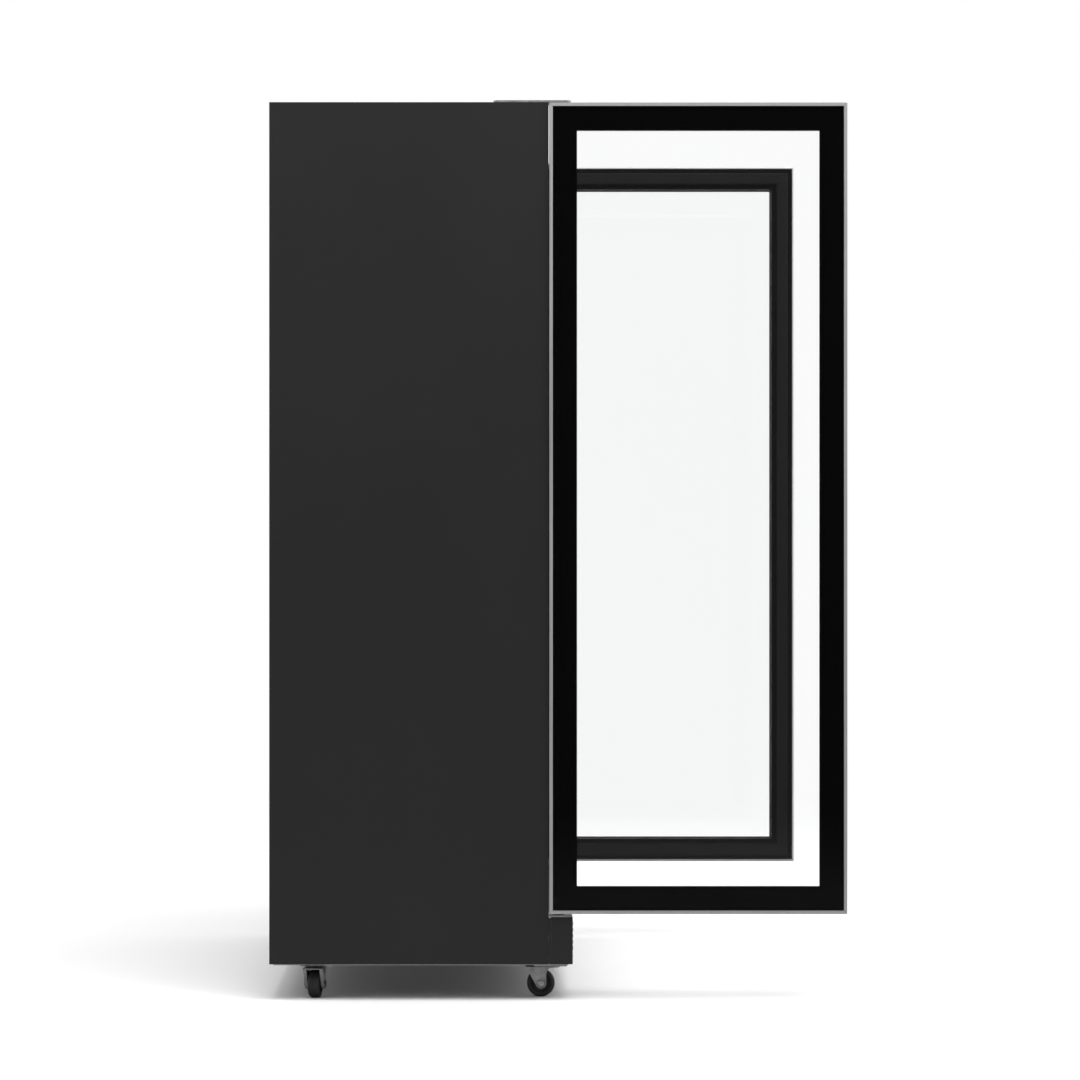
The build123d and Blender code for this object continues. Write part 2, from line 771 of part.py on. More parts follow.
swivels = {
    "front_left": ((-rail_x, caster_y["front"], 0), 90),
    "front_right": ((rail_x, caster_y["front"], 0), 90),
    "rear_left": ((-rail_x, caster_y["rear"], 0), 180 - rear_caster_turn),
    "rear_right": ((rail_x, caster_y["rear"], 0), rear_caster_turn),
}
with BuildPart() as caster_plates:
    for place, _ in swivels.values():
        under_plate = caster_height - caster_plate[2]
        with BuildSketch(Plane.XY.offset(under_plate)) as plate:
            with Locations(place[:2]):
                RectangleRounded(caster_plate[0], caster_plate[1], caster_plate_corner)
        extrude(plate.sketch, amount=caster_plate[2])
        race = under_plate - fork_top - face_clearance
        rod((*place[:2], fork_top + face_clearance), (0, 0, 1), race_radius, race)
        pin_length = fork_sheet + 2 * face_clearance + kingpin_rivet
        rod((*place[:2], fork_top + face_clearance), (0, 0, -1), kingpin_radius, pin_length)
        rivet_start = (*place[:2], fork_top - fork_sheet - face_clearance)
        rod(rivet_start, (0, 0, -1), kingpin_radius + kingpin_rim, kingpin_rivet)
    for place in plate_screw_places:
        with BuildSketch(Plane.XY.offset(caster_height - caster_plate[2])) as countersink:
            with Locations(place):
                Circle(plate_screw_head + screw_fit)
        extrude(countersink.sketch, amount=caster_plate[2], taper=45, mode=Mode.SUBTRACT)
        rod((*place, caster_height), (0, 0, -1), plate_screw_hole, caster_plate[2], mode=Mode.SUBTRACT)
save(caster_plates, "caster_plates")

for name, (place, heading) in swivels.items():
    save(make_fork(place, heading), f"{name}_caster_fork")
    save(make_wheel(place, heading), f"{name}_caster_wheel")
    save(make_axle(place, heading), f"{name}_caster_axle")

# ---------------------------------------------------------------- doors
void_from_free = grip_depth + grip_wall
glass_back = lip_depth + spacer_width + pane
inner_plate_width = border_width - sight_step
spacer_inset = inner_plate_width - spacer_width
corner_block = pivot_from_edge + bushing_radius + bushing_cover
with BuildPart() as left_door_frame:
    with BuildSketch(door_face):
        RectangleRounded(door_width, door_height, corner_radius)
    extrude(amount=-door_thickness)
    chamfer(left_door_frame.faces().sort_by(Axis.X)[-1].edges(), back_lip / 2)
    door_sheet(lip_width, 0, lip_depth, mode=Mode.SUBTRACT)
    door_sheet(frame_bar, lip_depth, door_thickness - inner_plate, mode=Mode.SUBTRACT)
    door_sheet(back_lip, door_thickness - inner_plate, door_thickness, mode=Mode.SUBTRACT)
    void_depth = (lip_depth + frame_wall, door_thickness - inner_plate - frame_wall)
    with BuildSketch(door_face.offset(-void_depth[0])):
        with Locations(((frame_wall - void_from_free) / 2, 0)):
            Rectangle(door_width - frame_wall - void_from_free, door_height - 2 * frame_wall)
        void_inset = frame_bar - frame_wall
        Rectangle(door_width - 2 * void_inset, door_height - 2 * void_inset, mode=Mode.SUBTRACT)
    extrude(amount=void_depth[0] - void_depth[1], mode=Mode.SUBTRACT)
    with BuildSketch(door_face.offset(-lip_depth)):
        with Locations((corner_block / 2 - door_width / 2, 0)):
            with GridLocations(0, door_height - corner_block, 1, 2):
                Rectangle(corner_block, corner_block)
    extrude(amount=lip_depth + inner_plate - door_thickness)
    with BuildSketch(door_face.offset(grip_from_back + grip_width - door_thickness)):
        with Locations(((door_width - grip_depth) / 2, 0)):
            Rectangle(grip_depth, door_height - 2 * grip_end)
    extrude(amount=-grip_width, mode=Mode.SUBTRACT)
    for z, up in ((door_bottom, 1), (door_top, -1)):
        rod((-pivot_x, pivot_y, z), (0, 0, up), bushing_radius, bushing_length, mode=Mode.SUBTRACT)
save(left_door_frame, "left_door_frame")

with BuildPart() as left_glass_panes:
    door_sheet(lip_width, frit, frit + pane)
    door_sheet(spacer_inset - pane_past_spacer, glass_back - pane, glass_back)
save(left_glass_panes, "left_glass_panes")

with BuildPart() as left_glass_border:
    door_ring(lip_width, border_width, frit + pane, lip_depth)
    door_ring(spacer_inset, spacer_inset + spacer_width, lip_depth, glass_back - pane)
save(left_glass_border, "left_glass_border")

dart_inset = gasket_inset + (gasket_width - dart) / 2 - dart_shift
with BuildPart() as left_inner_frame:
    door_ring(back_lip, inner_plate_width, door_thickness - inner_plate, door_thickness)
    rest_inset = inner_plate_width - glass_rest
    door_ring(rest_inset, inner_plate_width, glass_back, door_thickness - inner_plate)
    door_ring(dart_inset, dart_inset + dart, door_thickness - dart_depth, door_thickness, mode=Mode.SUBTRACT)
save(left_inner_frame, "left_inner_frame")

gasket_mid = gasket_inset + gasket_width / 2
gasket_end = door_thickness + seal_gap - gasket_squeeze
with BuildPart() as left_door_gasket:
    door_ring(dart_inset, dart_inset + dart, door_thickness - dart_depth, door_thickness)
    door_ring(gasket_inset, gasket_inset + gasket_width, door_thickness, door_thickness + gasket_base)
    neck_end = door_thickness + gasket_base + gasket_neck
    neck = (gasket_mid - neck_width / 2, gasket_mid + neck_width / 2)
    door_ring(*neck, door_thickness + gasket_base, neck_end)
    door_ring(gasket_inset, gasket_inset + gasket_width, neck_end, gasket_end)
save(left_door_gasket, "left_door_gasket")

with BuildPart() as left_door_bushings:
    gaps = (
        (door_bottom, 1, door_bottom - bracket_top - face_clearance),
        (door_top, -1, cabinet_top - door_top - face_clearance),
    )
    for z, up, flange in gaps:
        rod((-pivot_x, pivot_y, z), (0, 0, up), bushing_radius, bushing_length)
        rod((-pivot_x, pivot_y, z), (0, 0, -up), bushing_flange, flange)
        rod(
            (-pivot_x, pivot_y, z - up * flange),
            (0, 0, up),
            pin_radius + running_fit,
            bushing_length + flange,
            mode=Mode.SUBTRACT,
        )
save(left_door_bushings, "left_door_bushings")

left_door = {
    "door_frame": left_door_frame,
    "glass_panes": left_glass_panes,
    "glass_border": left_glass_border,
    "inner_frame": left_inner_frame,
    "door_gasket": left_door_gasket,
    "door_bushings": left_door_bushings,
}
for name, piece in left_door.items():
    with BuildPart() as right_piece:
        mirror(piece.part, about=Plane.YZ)
    save(right_piece, f"right_{name}")

# ---------------------------------------------------------------- shelving
shelf_count = int((cover_bottom - interior_floor - first_shelf) / shelf_rise)
shelf_levels = [interior_floor + first_shelf + step * shelf_rise for step in range(shelf_count)]
shelf_outer = inner_half - standard_depth - shelf_side_gap
shelf_front = mullion_back + standard_depth + shelf_clearance
shelf_back = inner_back - standard_depth - shelf_clearance
shelf_width = shelf_outer - shelf_from_centre
shelf_mid_x = (shelf_outer + shelf_from_centre) / 2
shelf_depth = shelf_back - shelf_front
wire_count = int((shelf_width - 2 * shelf_bar) / shelf_pitch)
with BuildSketch() as shelf_plan:
    Rectangle(shelf_width, shelf_depth)
    Rectangle(shelf_width - 2 * shelf_bar, shelf_depth - 2 * shelf_bar, mode=Mode.SUBTRACT)
    with GridLocations(shelf_pitch, 0, wire_count, 1):
        Rectangle(shelf_wire, shelf_depth - shelf_bar)
    with GridLocations(0, shelf_depth / 3, 1, 2):
        Rectangle(shelf_width - shelf_bar, shelf_wire)
with BuildPart() as wire_shelves:
    for level in shelf_levels:
        with BuildSketch(Plane.XY.offset(level)):
            for side in (-1, 1):
                with Locations((side * shelf_mid_x, (shelf_front + shelf_back) / 2)):
                    add(shelf_plan.sketch)
        extrude(amount=shelf_thickness)
save(wire_shelves, "wire_shelves")

# Each standard is drawn on its own slotted face, which looks into the cabinet: local y is height.
front_standard_y = front_y + standard_from_corner
back_standard_y = inner_back - standard_from_corner
standard_top = cover_bottom - standard_end
centre_x = shelf_from_centre + standard_width / 2 + standard_from_shelf
side_face_x = inner_half - standard_depth
standards = []
front_low = interior_floor + standard_end
back_low = step_z + standard_foot
centre_faces = ((mullion_back + standard_depth, 1, front_low), (inner_back - standard_depth, -1, back_low))
for side in (-1, 1):
    for y, low in ((front_standard_y, front_low), (back_standard_y, back_low)):
        face = Plane(origin=(side * side_face_x, y, 0), x_dir=(0, -side, 0), z_dir=(-side, 0, 0))
        standards.append((face, low))
    for y, way, low in centre_faces:
        face = Plane(origin=(side * centre_x, y, 0), x_dir=(-way, 0, 0), z_dir=(0, way, 0))
        standards.append((face, low))

with BuildPart() as shelf_standards:
    for face, low in standards:
        first = math.ceil((low + slot_height - shelf_levels[0] + clip_drop) / slot_pitch)
        last = math.floor((standard_top - slot_height - shelf_levels[0] + clip_drop) / slot_pitch)
        slots = [(0, shelf_levels[0] - clip_drop + step * slot_pitch) for step in range(first, last + 1)]
        with BuildSketch(face) as web:
            with Locations((0, (low + standard_top) / 2)):
                Rectangle(standard_width, standard_top - low)
            with Locations(*slots):
                Rectangle(slot_width, slot_height, mode=Mode.SUBTRACT)
        with BuildSketch(face) as flanges:
            with Locations((0, (low + standard_top) / 2)):
                with GridLocations(standard_width - standard_sheet, 0, 2, 1):
                    Rectangle(standard_sheet, standard_top - low)
        extrude(web.sketch, amount=-standard_sheet, clean=False)
        extrude(flanges.sketch, amount=-standard_depth, clean=False)
save(shelf_standards, "shelf_standards")

clip_pieces = (  # width, height, middle below the shelf, how far it reaches out of the standard's face
    (clip_width, 2 * clip_width, clip_width, clip_sheet),
    (clip_width, clip_width / 2, clip_width / 4, clip_arm),
    (slot_width - clip_play[0], slot_height - clip_play[1], clip_drop, -standard_depth / 2),
)
with BuildPart() as shelf_clips:
    for face, _ in standards:
        for width, height, below, reach in clip_pieces:
            with BuildSketch(face) as outline:
                with Locations(*[(0, level - below) for level in shelf_levels]):
                    Rectangle(width, height)
            extrude(outline.sketch, amount=reach)
save(shelf_clips, "shelf_clips")

light_z = (interior_floor + light_end[0], cover_bottom - light_end[1])
light_y = (front_y + light_from_front, front_y + light_from_front + light_bar[1])
with BuildPart() as led_light_bars:
    for side in (-1, 1):
        side_x = side * (inner_half - light_bar[0] / 2)
        block((side_x - light_bar[0] / 2, side_x + light_bar[0] / 2), light_y, light_z)
        centre_light_x = side * (mullion_half - light_from_mullion_edge)
        centre_bar = (centre_light_x - light_bar[0] / 2, centre_light_x + light_bar[0] / 2)
        block(centre_bar, (mullion_back, mullion_back + centre_light_depth), light_z)
save(led_light_bars, "led_light_bars")

# ---------------------------------------------------------------- evaporator, above the shelves
fan_opening = fan_radius + fan_tip_gap
with BuildPart() as evaporator_cover:
    block(both_sides(cover_half), (cover_front, inner_back), (cover_bottom, interior_top))
    block(
        both_sides(cover_half - cover_sheet),
        (cover_front + cover_sheet, inner_back),
        (cover_bottom + cover_sheet, interior_top),
        mode=Mode.SUBTRACT,
    )
    with BuildSketch(Plane.XZ.offset(-cover_front - cover_sheet)):
        with Locations(*fan_places):
            Circle(fan_opening)
    extrude(amount=cover_sheet, mode=Mode.SUBTRACT)
    with BuildSketch(Plane.XZ.offset(-cover_front - cover_sheet)):
        with Locations(*fan_places):
            for step in (1, 2, 3):
                Circle(fan_opening - step * guard_pitch)
                Circle(fan_opening - step * guard_pitch - guard_wire, mode=Mode.SUBTRACT)
            Rectangle(2 * fan_opening + guard_wire, guard_cross)
            Rectangle(guard_cross, 2 * fan_opening + guard_wire)
    extrude(amount=cover_sheet)
    with BuildSketch(Plane.XY.offset(cover_bottom)):
        with Locations((0, inner_back - cover_slots_from_back)):
            with GridLocations(*cover_slot_pitch, 4, 6):
                SlotOverall(*cover_slot)
    extrude(amount=cover_sheet, mode=Mode.SUBTRACT)
    with Locations((0, cover_front + cover_sheet / 2, fan_height)):
        Box(wire_hole, cover_sheet, wire_hole, mode=Mode.SUBTRACT)
save(evaporator_cover, "evaporator_cover")

coil_length = 2 * (cover_half - coil_from_cover_end)
coil_y = (inner_back - coil_depth - coil_from_back, inner_back - coil_from_back)
coil_z = (cover_bottom + coil_from_cover[0], interior_top - coil_from_cover[1])
fin_count = int(coil_length / fin_pitch)
with BuildPart() as evaporator_coil:
    with BuildSketch(Plane.XY.offset(coil_z[0])):
        with Locations((0, sum(coil_y) / 2)):
            with GridLocations(fin_pitch, 0, fin_count, 1):
                Rectangle(fin, coil_depth)
    extrude(amount=coil_z[1] - coil_z[0])
    for row in coil_tube_rows:
        for column in coil_tube_columns:
            tube_start = (-coil_length / 2 - tube_end, coil_y[0] + column, coil_z[0] + row)
            rod(tube_start, (1, 0, 0), coil_tube, coil_length + 2 * tube_end)
save(evaporator_coil, "evaporator_coil")


def blades(radius, chord, count, hub_radius, hub_length):
    """A hub and its pitched blades, drawn on the axis with local z along it."""
    Cylinder(hub_radius, hub_length)
    with PolarLocations((radius + hub_radius) / 2, count):
        Box(radius - hub_radius + 4, chord, 2, rotation=(28, 0, 0))
    Cylinder(radius, hub_length * 3, mode=Mode.INTERSECT)
    Cylinder(shaft_radius + running_fit, hub_length * 3, mode=Mode.SUBTRACT)


for (x, z), name in zip(fan_places, ("left", "right")):
    with BuildPart(Plane(origin=(x, cover_front + fan_from_cover, z), z_dir=(0, -1, 0))) as fan:
        blades(fan_radius, fan_chord, 5, *fan_hub)
    save(fan, f"{name}_evaporator_fan_blade")

# ---------------------------------------------------------------- condensing unit in the lower back
condenser_face = 2 * (condenser_fan_radius + condenser_tip_gap + shroud_rim)
condenser_y = (compressor_y - condenser_face / 2, compressor_y + condenser_face / 2)
condenser_z = (deck_top + condenser_foot, deck_top + condenser_foot + condenser_face)
condenser_mid_z = sum(condenser_z) / 2
condenser_left = condenser_x - condenser_depth / 2
condenser_right = condenser_x + condenser_depth / 2
shroud_left = condenser_left - shroud_depth
with BuildPart() as condenser_coil:
    with BuildSketch(Plane.XY.offset(condenser_z[0])):
        with Locations((condenser_x, compressor_y)):
            with GridLocations(0, fin_pitch, 1, int(condenser_face / fin_pitch)):
                Rectangle(condenser_depth, fin)
    extrude(amount=condenser_face)
    for z in (condenser_z[0] + condenser_tube_inset, condenser_mid_z, condenser_z[1] - condenser_tube_inset):
        tube_start = (condenser_x, condenser_y[0] - condenser_tube_end, z)
        rod(tube_start, (0, 1, 0), tube_radius, condenser_face + 2 * condenser_tube_end)
    block((condenser_left, condenser_right), condenser_y, (deck_top, condenser_z[0]))
save(condenser_coil, "condenser_coil")

fan_axis = (shroud_left, compressor_y, condenser_mid_z)
shroud_bore = condenser_fan_radius + condenser_tip_gap
strut_back = shroud_left - strut_from_shroud
strut_front = strut_back - strut[0]
with BuildPart() as condenser_fan_shroud:
    block((shroud_left, condenser_left), condenser_y, condenser_z)
    rod(fan_axis, (1, 0, 0), shroud_bore, shroud_depth, mode=Mode.SUBTRACT)
    for shift in (-strut_spread, strut_spread):
        strut_z = (condenser_mid_z + shift - strut[1] / 2, condenser_mid_z + shift + strut[1] / 2)
        motor_sides = (compressor_y - condenser_motor_radius, compressor_y + condenser_motor_radius)
        block((strut_front, strut_back), (condenser_y[0], motor_sides[0]), strut_z)
        block((strut_front, strut_back), (motor_sides[1], condenser_y[1]), strut_z)
        block((strut_front, shroud_left), (condenser_y[0], condenser_y[0] + strut[0]), strut_z)
        block((strut_front, shroud_left), (condenser_y[1] - strut[0], condenser_y[1]), strut_z)
save(condenser_fan_shroud, "condenser_fan_shroud")

fan_plane = Plane(origin=fan_axis, x_dir=(0, 1, 0), z_dir=(1, 0, 0)).offset(shroud_depth / 2)
with BuildPart(fan_plane) as condenser_fan_blade:
    blades(condenser_fan_radius, condenser_chord, 5, *condenser_hub)
save(condenser_fan_blade, "condenser_fan_blade")

motor_y = (cover_front + motor_from_cover[0], cover_front + motor_from_cover[1])
hanger_y = (motor_y[0] + motor_hanger[0], motor_y[0] + sum(motor_hanger))
motor_end = (shroud_left - condenser_motor[1], compressor_y, condenser_mid_z)
with BuildPart() as fan_motors:
    for x, z in fan_places:
        rod((x, motor_y[0], z), (0, 1, 0), motor_radius, motor_y[1] - motor_y[0])
        rod((x, cover_front + shaft_start, z), (0, 1, 0), shaft_radius, motor_from_cover[0] - shaft_start)
        block((x - motor_hanger[0] / 2, x + motor_hanger[0] / 2), hanger_y, (z, interior_top))
    rod(motor_end, (1, 0, 0), condenser_motor_radius, condenser_motor[1] - condenser_motor[0])
    rod(motor_end, (1, 0, 0), shaft_radius, condenser_motor[1] + shroud_depth / 2 + shaft_start)
save(fan_motors, "fan_motors")

compressor_floor = deck_top + foot_height
shell_plane = Plane(origin=(compressor_x, compressor_y, compressor_floor), x_dir=(1, 0, 0), z_dir=(0, -1, 0))
with BuildPart() as compressor:
    with BuildSketch(shell_plane) as half:
        with Locations((0, shell_height / 2)):
            RectangleRounded(2 * compressor_radius, shell_height, shell_corner)
            RectangleRounded(
                2 * (compressor_radius - shell_wall),
                shell_height - 2 * shell_wall,
                shell_corner - shell_wall,
                mode=Mode.SUBTRACT,
            )
        with Locations((compressor_radius, shell_height / 2)):
            Rectangle(2 * compressor_radius, shell_height, mode=Mode.INTERSECT)
    revolve(half.sketch, axis=Axis((compressor_x, compressor_y, 0), (0, 0, 1)))
    with Locations((compressor_x, compressor_y, compressor_floor + foot_plate[2] / 2)):
        Box(*foot_plate)
    with Locations((compressor_x, compressor_y - compressor_radius, compressor_floor + terminal_height)):
        Box(*terminal_box)
save(compressor, "compressor")

with BuildPart() as compressor_feet:
    with BuildSketch(Plane.XY.offset(deck_top)):
        with Locations((compressor_x, compressor_y)):
            with GridLocations(*foot_spread, 2, 2):
                Circle(foot_radius)
    extrude(amount=foot_height)
save(compressor_feet, "compressor_feet")

tray_y = (compressor_y - tray_width / 2, compressor_y + tray_width / 2)
tray = (tray_x, tray_y, (deck_top, deck_top + tray_height))
with BuildPart() as drain_pan:
    block(*tray)
    block(
        (tray[0][0] + tray_wall, tray[0][1] - tray_wall),
        (tray[1][0] + tray_wall, tray[1][1] - tray_wall),
        (tray[2][0] + tray_wall, tray[2][1]),
        mode=Mode.SUBTRACT,
    )
save(drain_pan, "drain_pan")


def pipe(points, radius, bend):
    """A copper tube along straight runs with round bends."""
    with BuildLine() as route:
        FilletPolyline(*points, radius=bend)
    with BuildSketch(Plane(origin=route.line @ 0, z_dir=route.line % 0)) as section:
        Circle(radius)
    sweep(section.sketch, path=route.line)


pipe_y = compressor_y + discharge_from_axis
low_z = condenser_z[0] + liquid_line_height
with BuildPart() as refrigerant_lines:
    x, y, z = (compressor_x - compressor_radius, compressor_y, compressor_floor + discharge_height)
    turn_x = x - discharge_reach
    discharge = [(x, y, z), (turn_x, y, z), (turn_x, pipe_y, z), (condenser_right, pipe_y, z)]
    pipe(discharge, tube_radius, tube_bend[0])
    x, z = (compressor_x + compressor_radius, compressor_floor + suction_height)
    pipe([(x, y, z), (x + suction_reach, y, z), (x + suction_reach, y, bay_top)], tube_radius, tube_bend[1])
    drier_x = condenser_right + drier_reach
    drier_y = compressor_y - drier_from_axis
    liquid = [(condenser_right, drier_y, low_z), (drier_x, drier_y, low_z), (drier_x, drier_y, bay_top)]
    pipe(liquid, tube_radius, tube_bend[1])
    rod((drier_x, drier_y, low_z + drier_rise), (0, 0, 1), *drier)
    for side in (-1, 1):
        tube_x = side * (coil_length / 2 - tube_end)
        rod((tube_x, coil_y[1], fan_height), (0, 1, 0), tube_radius, coil_from_back)
save(refrigerant_lines, "refrigerant_lines")

# ---------------------------------------------------------------- control box on the evaporator cover
control_front = cover_front - control_depth
pocket_half = (rocker_width / 2 + rocker_gap[0], rocker_half + rocker_gap[1])
with BuildPart() as control_box:
    with Locations((0, (control_front + cover_front) / 2, fan_height)):
        Box(control_width, control_depth, control_height)
    with Locations((0, (control_front + control_boss + cover_front) / 2, fan_height)):
        Box(
            control_width - 2 * control_sheet,
            control_depth - control_boss,
            control_height - 2 * control_sheet,
            mode=Mode.SUBTRACT,
        )
    knob_place = (knob_x, control_front, fan_height)
    rod(knob_place, (0, 1, 0), shaft_radius + running_fit, control_boss, mode=Mode.SUBTRACT)
    block(
        (switch_x - pocket_half[0], switch_x + pocket_half[0]),
        (control_front, control_front + pocket_depth),
        (fan_height - pocket_half[1], fan_height + pocket_half[1]),
        mode=Mode.SUBTRACT,
    )
save(control_box, "control_box")

skirt_back = control_front - knob_gap
grip_back = skirt_back - knob_skirt[1]
knob_end = grip_back - knob_grip[1]
with BuildPart() as thermostat_knob:
    rod((knob_x, skirt_back, fan_height), (0, -1, 0), *knob_skirt)
    rod((knob_x, grip_back, fan_height), (0, -1, 0), *knob_grip)
    rod((knob_x, skirt_back, fan_height), (0, 1, 0), shaft_radius, knob_shaft)
    with Locations((knob_x, knob_end - knob_mark[1] / 2, fan_height + knob_mark[2] / 2)):
        Box(*knob_mark)
save(thermostat_knob, "thermostat_knob")

tilt = math.radians(rocker_tilt)
rocker_view = Plane(
    origin=(switch_x - rocker_width / 2, control_front + rocker_pivot_depth, fan_height),
    x_dir=(0, math.sin(tilt), math.cos(tilt)),
    z_dir=(1, 0, 0),
)
with BuildPart() as light_switch_rocker:
    with BuildSketch(rocker_view):
        with BuildLine():
            Polyline(
                (-rocker_half, -rocker_back),
                (rocker_half, -rocker_back),
                (rocker_half, rocker_rise),
                (0, rocker_waist),
                (-rocker_half, rocker_rise),
                close=True,
            )
        make_face()
    extrude(amount=rocker_width)
save(light_switch_rocker, "light_switch_rocker")
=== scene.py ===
"""The looks of a two-door glass merchandiser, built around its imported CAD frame.

Metres, +Z up, doors facing -Y when they are shut. Left is -X, as seen from the front.
"""

import json
import math

import bmesh
import bpy
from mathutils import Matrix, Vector


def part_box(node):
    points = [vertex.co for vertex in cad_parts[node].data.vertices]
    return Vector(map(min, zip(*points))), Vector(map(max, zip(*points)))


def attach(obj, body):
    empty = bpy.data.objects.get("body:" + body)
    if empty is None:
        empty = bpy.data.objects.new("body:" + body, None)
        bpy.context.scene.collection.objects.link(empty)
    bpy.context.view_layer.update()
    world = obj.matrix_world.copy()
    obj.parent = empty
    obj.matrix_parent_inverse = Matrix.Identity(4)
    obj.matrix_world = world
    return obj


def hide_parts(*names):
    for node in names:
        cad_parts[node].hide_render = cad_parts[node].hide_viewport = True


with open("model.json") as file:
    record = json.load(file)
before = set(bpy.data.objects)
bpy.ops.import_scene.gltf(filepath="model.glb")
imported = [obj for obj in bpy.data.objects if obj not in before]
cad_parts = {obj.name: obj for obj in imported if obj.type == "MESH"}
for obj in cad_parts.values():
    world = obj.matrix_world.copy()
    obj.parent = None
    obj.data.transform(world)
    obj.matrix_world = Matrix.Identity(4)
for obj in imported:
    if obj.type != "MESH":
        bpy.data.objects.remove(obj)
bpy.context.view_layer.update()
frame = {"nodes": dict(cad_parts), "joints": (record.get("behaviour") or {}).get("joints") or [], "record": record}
nodes = frame["nodes"]
joints = {joint["name"]: joint for joint in frame["joints"]}

# ---------------------------------------------------------------- places read from the frame
door_sides = ((-1, "left"), (1, "right"))
corner_signs = ((-1, -1), (1, -1), (1, 1), (-1, 1))
cabinet_low, cabinet_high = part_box("left_side_panel")
front_y, back_y = cabinet_low.y, cabinet_high.y
half_width = -cabinet_low.x
door_low, door_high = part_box("left_door_frame")
door_middle_y = (door_low.y + door_high.y) / 2
door_middle_z = (door_low.z + door_high.z) / 2
door_width = door_high.y - door_low.y
door_height = door_high.z - door_low.z
door_face_x = -door_low.x
cover_low, cover_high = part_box("evaporator_cover")
plinth_low, plinth_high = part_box("kick_grille")
grille_low, grille_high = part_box("rear_service_grille")


# ---------------------------------------------------------------- materials
class Look:
    """A Principled material and short ways to add and link its nodes."""

    def __init__(self, name, roughness=0.5, metallic=0.0, **sockets):
        self.material = bpy.data.materials.new(name)
        self.material.use_nodes = True
        self.nodes = self.material.node_tree.nodes
        self.shader = self.nodes["Principled BSDF"]
        self.shader.inputs["Roughness"].default_value = roughness
        self.shader.inputs["Metallic"].default_value = metallic
        for socket, value in sockets.items():
            self.shader.inputs[socket.replace("_", " ")].default_value = value
        self.place = self.add("ShaderNodeTexCoord").outputs["Object"]

    def add(self, kind, **settings):
        node = self.nodes.new(kind)
        for setting, value in settings.items():
            setattr(node, setting, value)
        return node

    def link(self, source, target):
        self.material.node_tree.links.new(source, target)

    def stretched(self, scale):
        """Object coordinates, scaled along each axis."""
        mapping = self.add("ShaderNodeMapping")
        mapping.inputs["Scale"].default_value = scale
        self.link(self.place, mapping.inputs["Vector"])
        return mapping.outputs["Vector"]

    def noise(self, scale, detail=3.0, stretch=None, roughness=0.5):
        """A noise value with about this many spots to a metre."""
        node = self.add("ShaderNodeTexNoise")
        node.inputs["Scale"].default_value = scale
        node.inputs["Detail"].default_value = detail
        node.inputs["Roughness"].default_value = roughness
        self.link(self.stretched(stretch) if stretch else self.place, node.inputs["Vector"])
        return node.outputs["Fac"]

    def spread(self, value, low, high, start=0.3, end=0.7):
        """Low to high, as a texture value goes from start to end."""
        node = self.add("ShaderNodeMapRange")
        limits = {"From Min": start, "From Max": end, "To Min": low, "To Max": high}
        for socket, number in limits.items():
            node.inputs[socket].default_value = number
        self.link(value, node.inputs["Value"])
        return node.outputs["Result"]

    def tint(self, value, dark, light, start=0.3, end=0.7):
        """Dark to light colour, as a texture value goes from start to end."""
        ramp = self.add("ShaderNodeValToRGB")
        ramp.color_ramp.elements[0].position = start
        ramp.color_ramp.elements[1].position = end
        ramp.color_ramp.elements[0].color = (*dark, 1)
        ramp.color_ramp.elements[1].color = (*light, 1)
        self.link(value, ramp.inputs["Fac"])
        return ramp.outputs["Color"]

    def mixed(self, value, first, second):
        """The first colour to the second, as a value goes from 0 to 1."""
        mix = self.add("ShaderNodeMix", data_type="RGBA")
        self.link(value, mix.inputs["Factor"])
        self.link(first, mix.inputs["A"])
        self.link(second, mix.inputs["B"])
        return mix.outputs["Result"]

    def relief(self, value, strength, distance):
        """Bumps of a texture value, with their depth in metres."""
        bump = self.add("ShaderNodeBump")
        bump.inputs["Strength"].default_value = strength
        bump.inputs["Distance"].default_value = distance
        self.link(value, bump.inputs["Height"])
        self.link(bump.outputs["Normal"], self.shader.inputs["Normal"])

    def set(self, socket, source):
        self.link(source, self.shader.inputs[socket])


def grey(level, warmth=0.0):
    """A grey, with red raised and blue lowered a little by warmth."""
    return (level * (1 + warmth), level, level * (1 - warmth))


def powder_coat(name, dark, light, roughness=(0.40, 0.44), specular=0.35, peel=0.35):
    """Baked powder paint: a fine orange peel, and slow changes of tone over the sheet."""
    look = Look(name, Specular_IOR_Level=specular)
    look.set("Base Color", look.tint(look.noise(2.2, detail=4.0), dark, light))
    look.set("Roughness", look.spread(look.noise(160.0), *roughness))
    look.relief(look.noise(620.0, detail=2.0), strength=peel, distance=0.00006)
    return look.material


def plated(name, dark, light, roughness, blotch=55.0, grain=900.0):
    """Zinc plate over pressed steel: cloudy blotches, and fine marks from the press."""
    look = Look(name, metallic=1.0)
    clouds = look.noise(blotch, detail=6.0, roughness=0.62)
    look.set("Base Color", look.tint(clouds, dark, light))
    look.set("Roughness", look.spread(look.noise(blotch * 2.7, detail=4.0), *roughness))
    look.relief(look.noise(grain), strength=0.25, distance=0.00005)
    return look.material


def brushed(name, dark, light, stretch, roughness=(0.24, 0.38)):
    """Anodised aluminium with long fine lines along the bar."""
    look = Look(name, metallic=1.0)
    lines = look.noise(1.0, detail=6.0, stretch=stretch, roughness=0.6)
    look.set("Base Color", look.tint(lines, dark, light))
    look.set("Roughness", look.spread(lines, *roughness))
    look.relief(lines, strength=0.18, distance=0.00003)
    return look.material


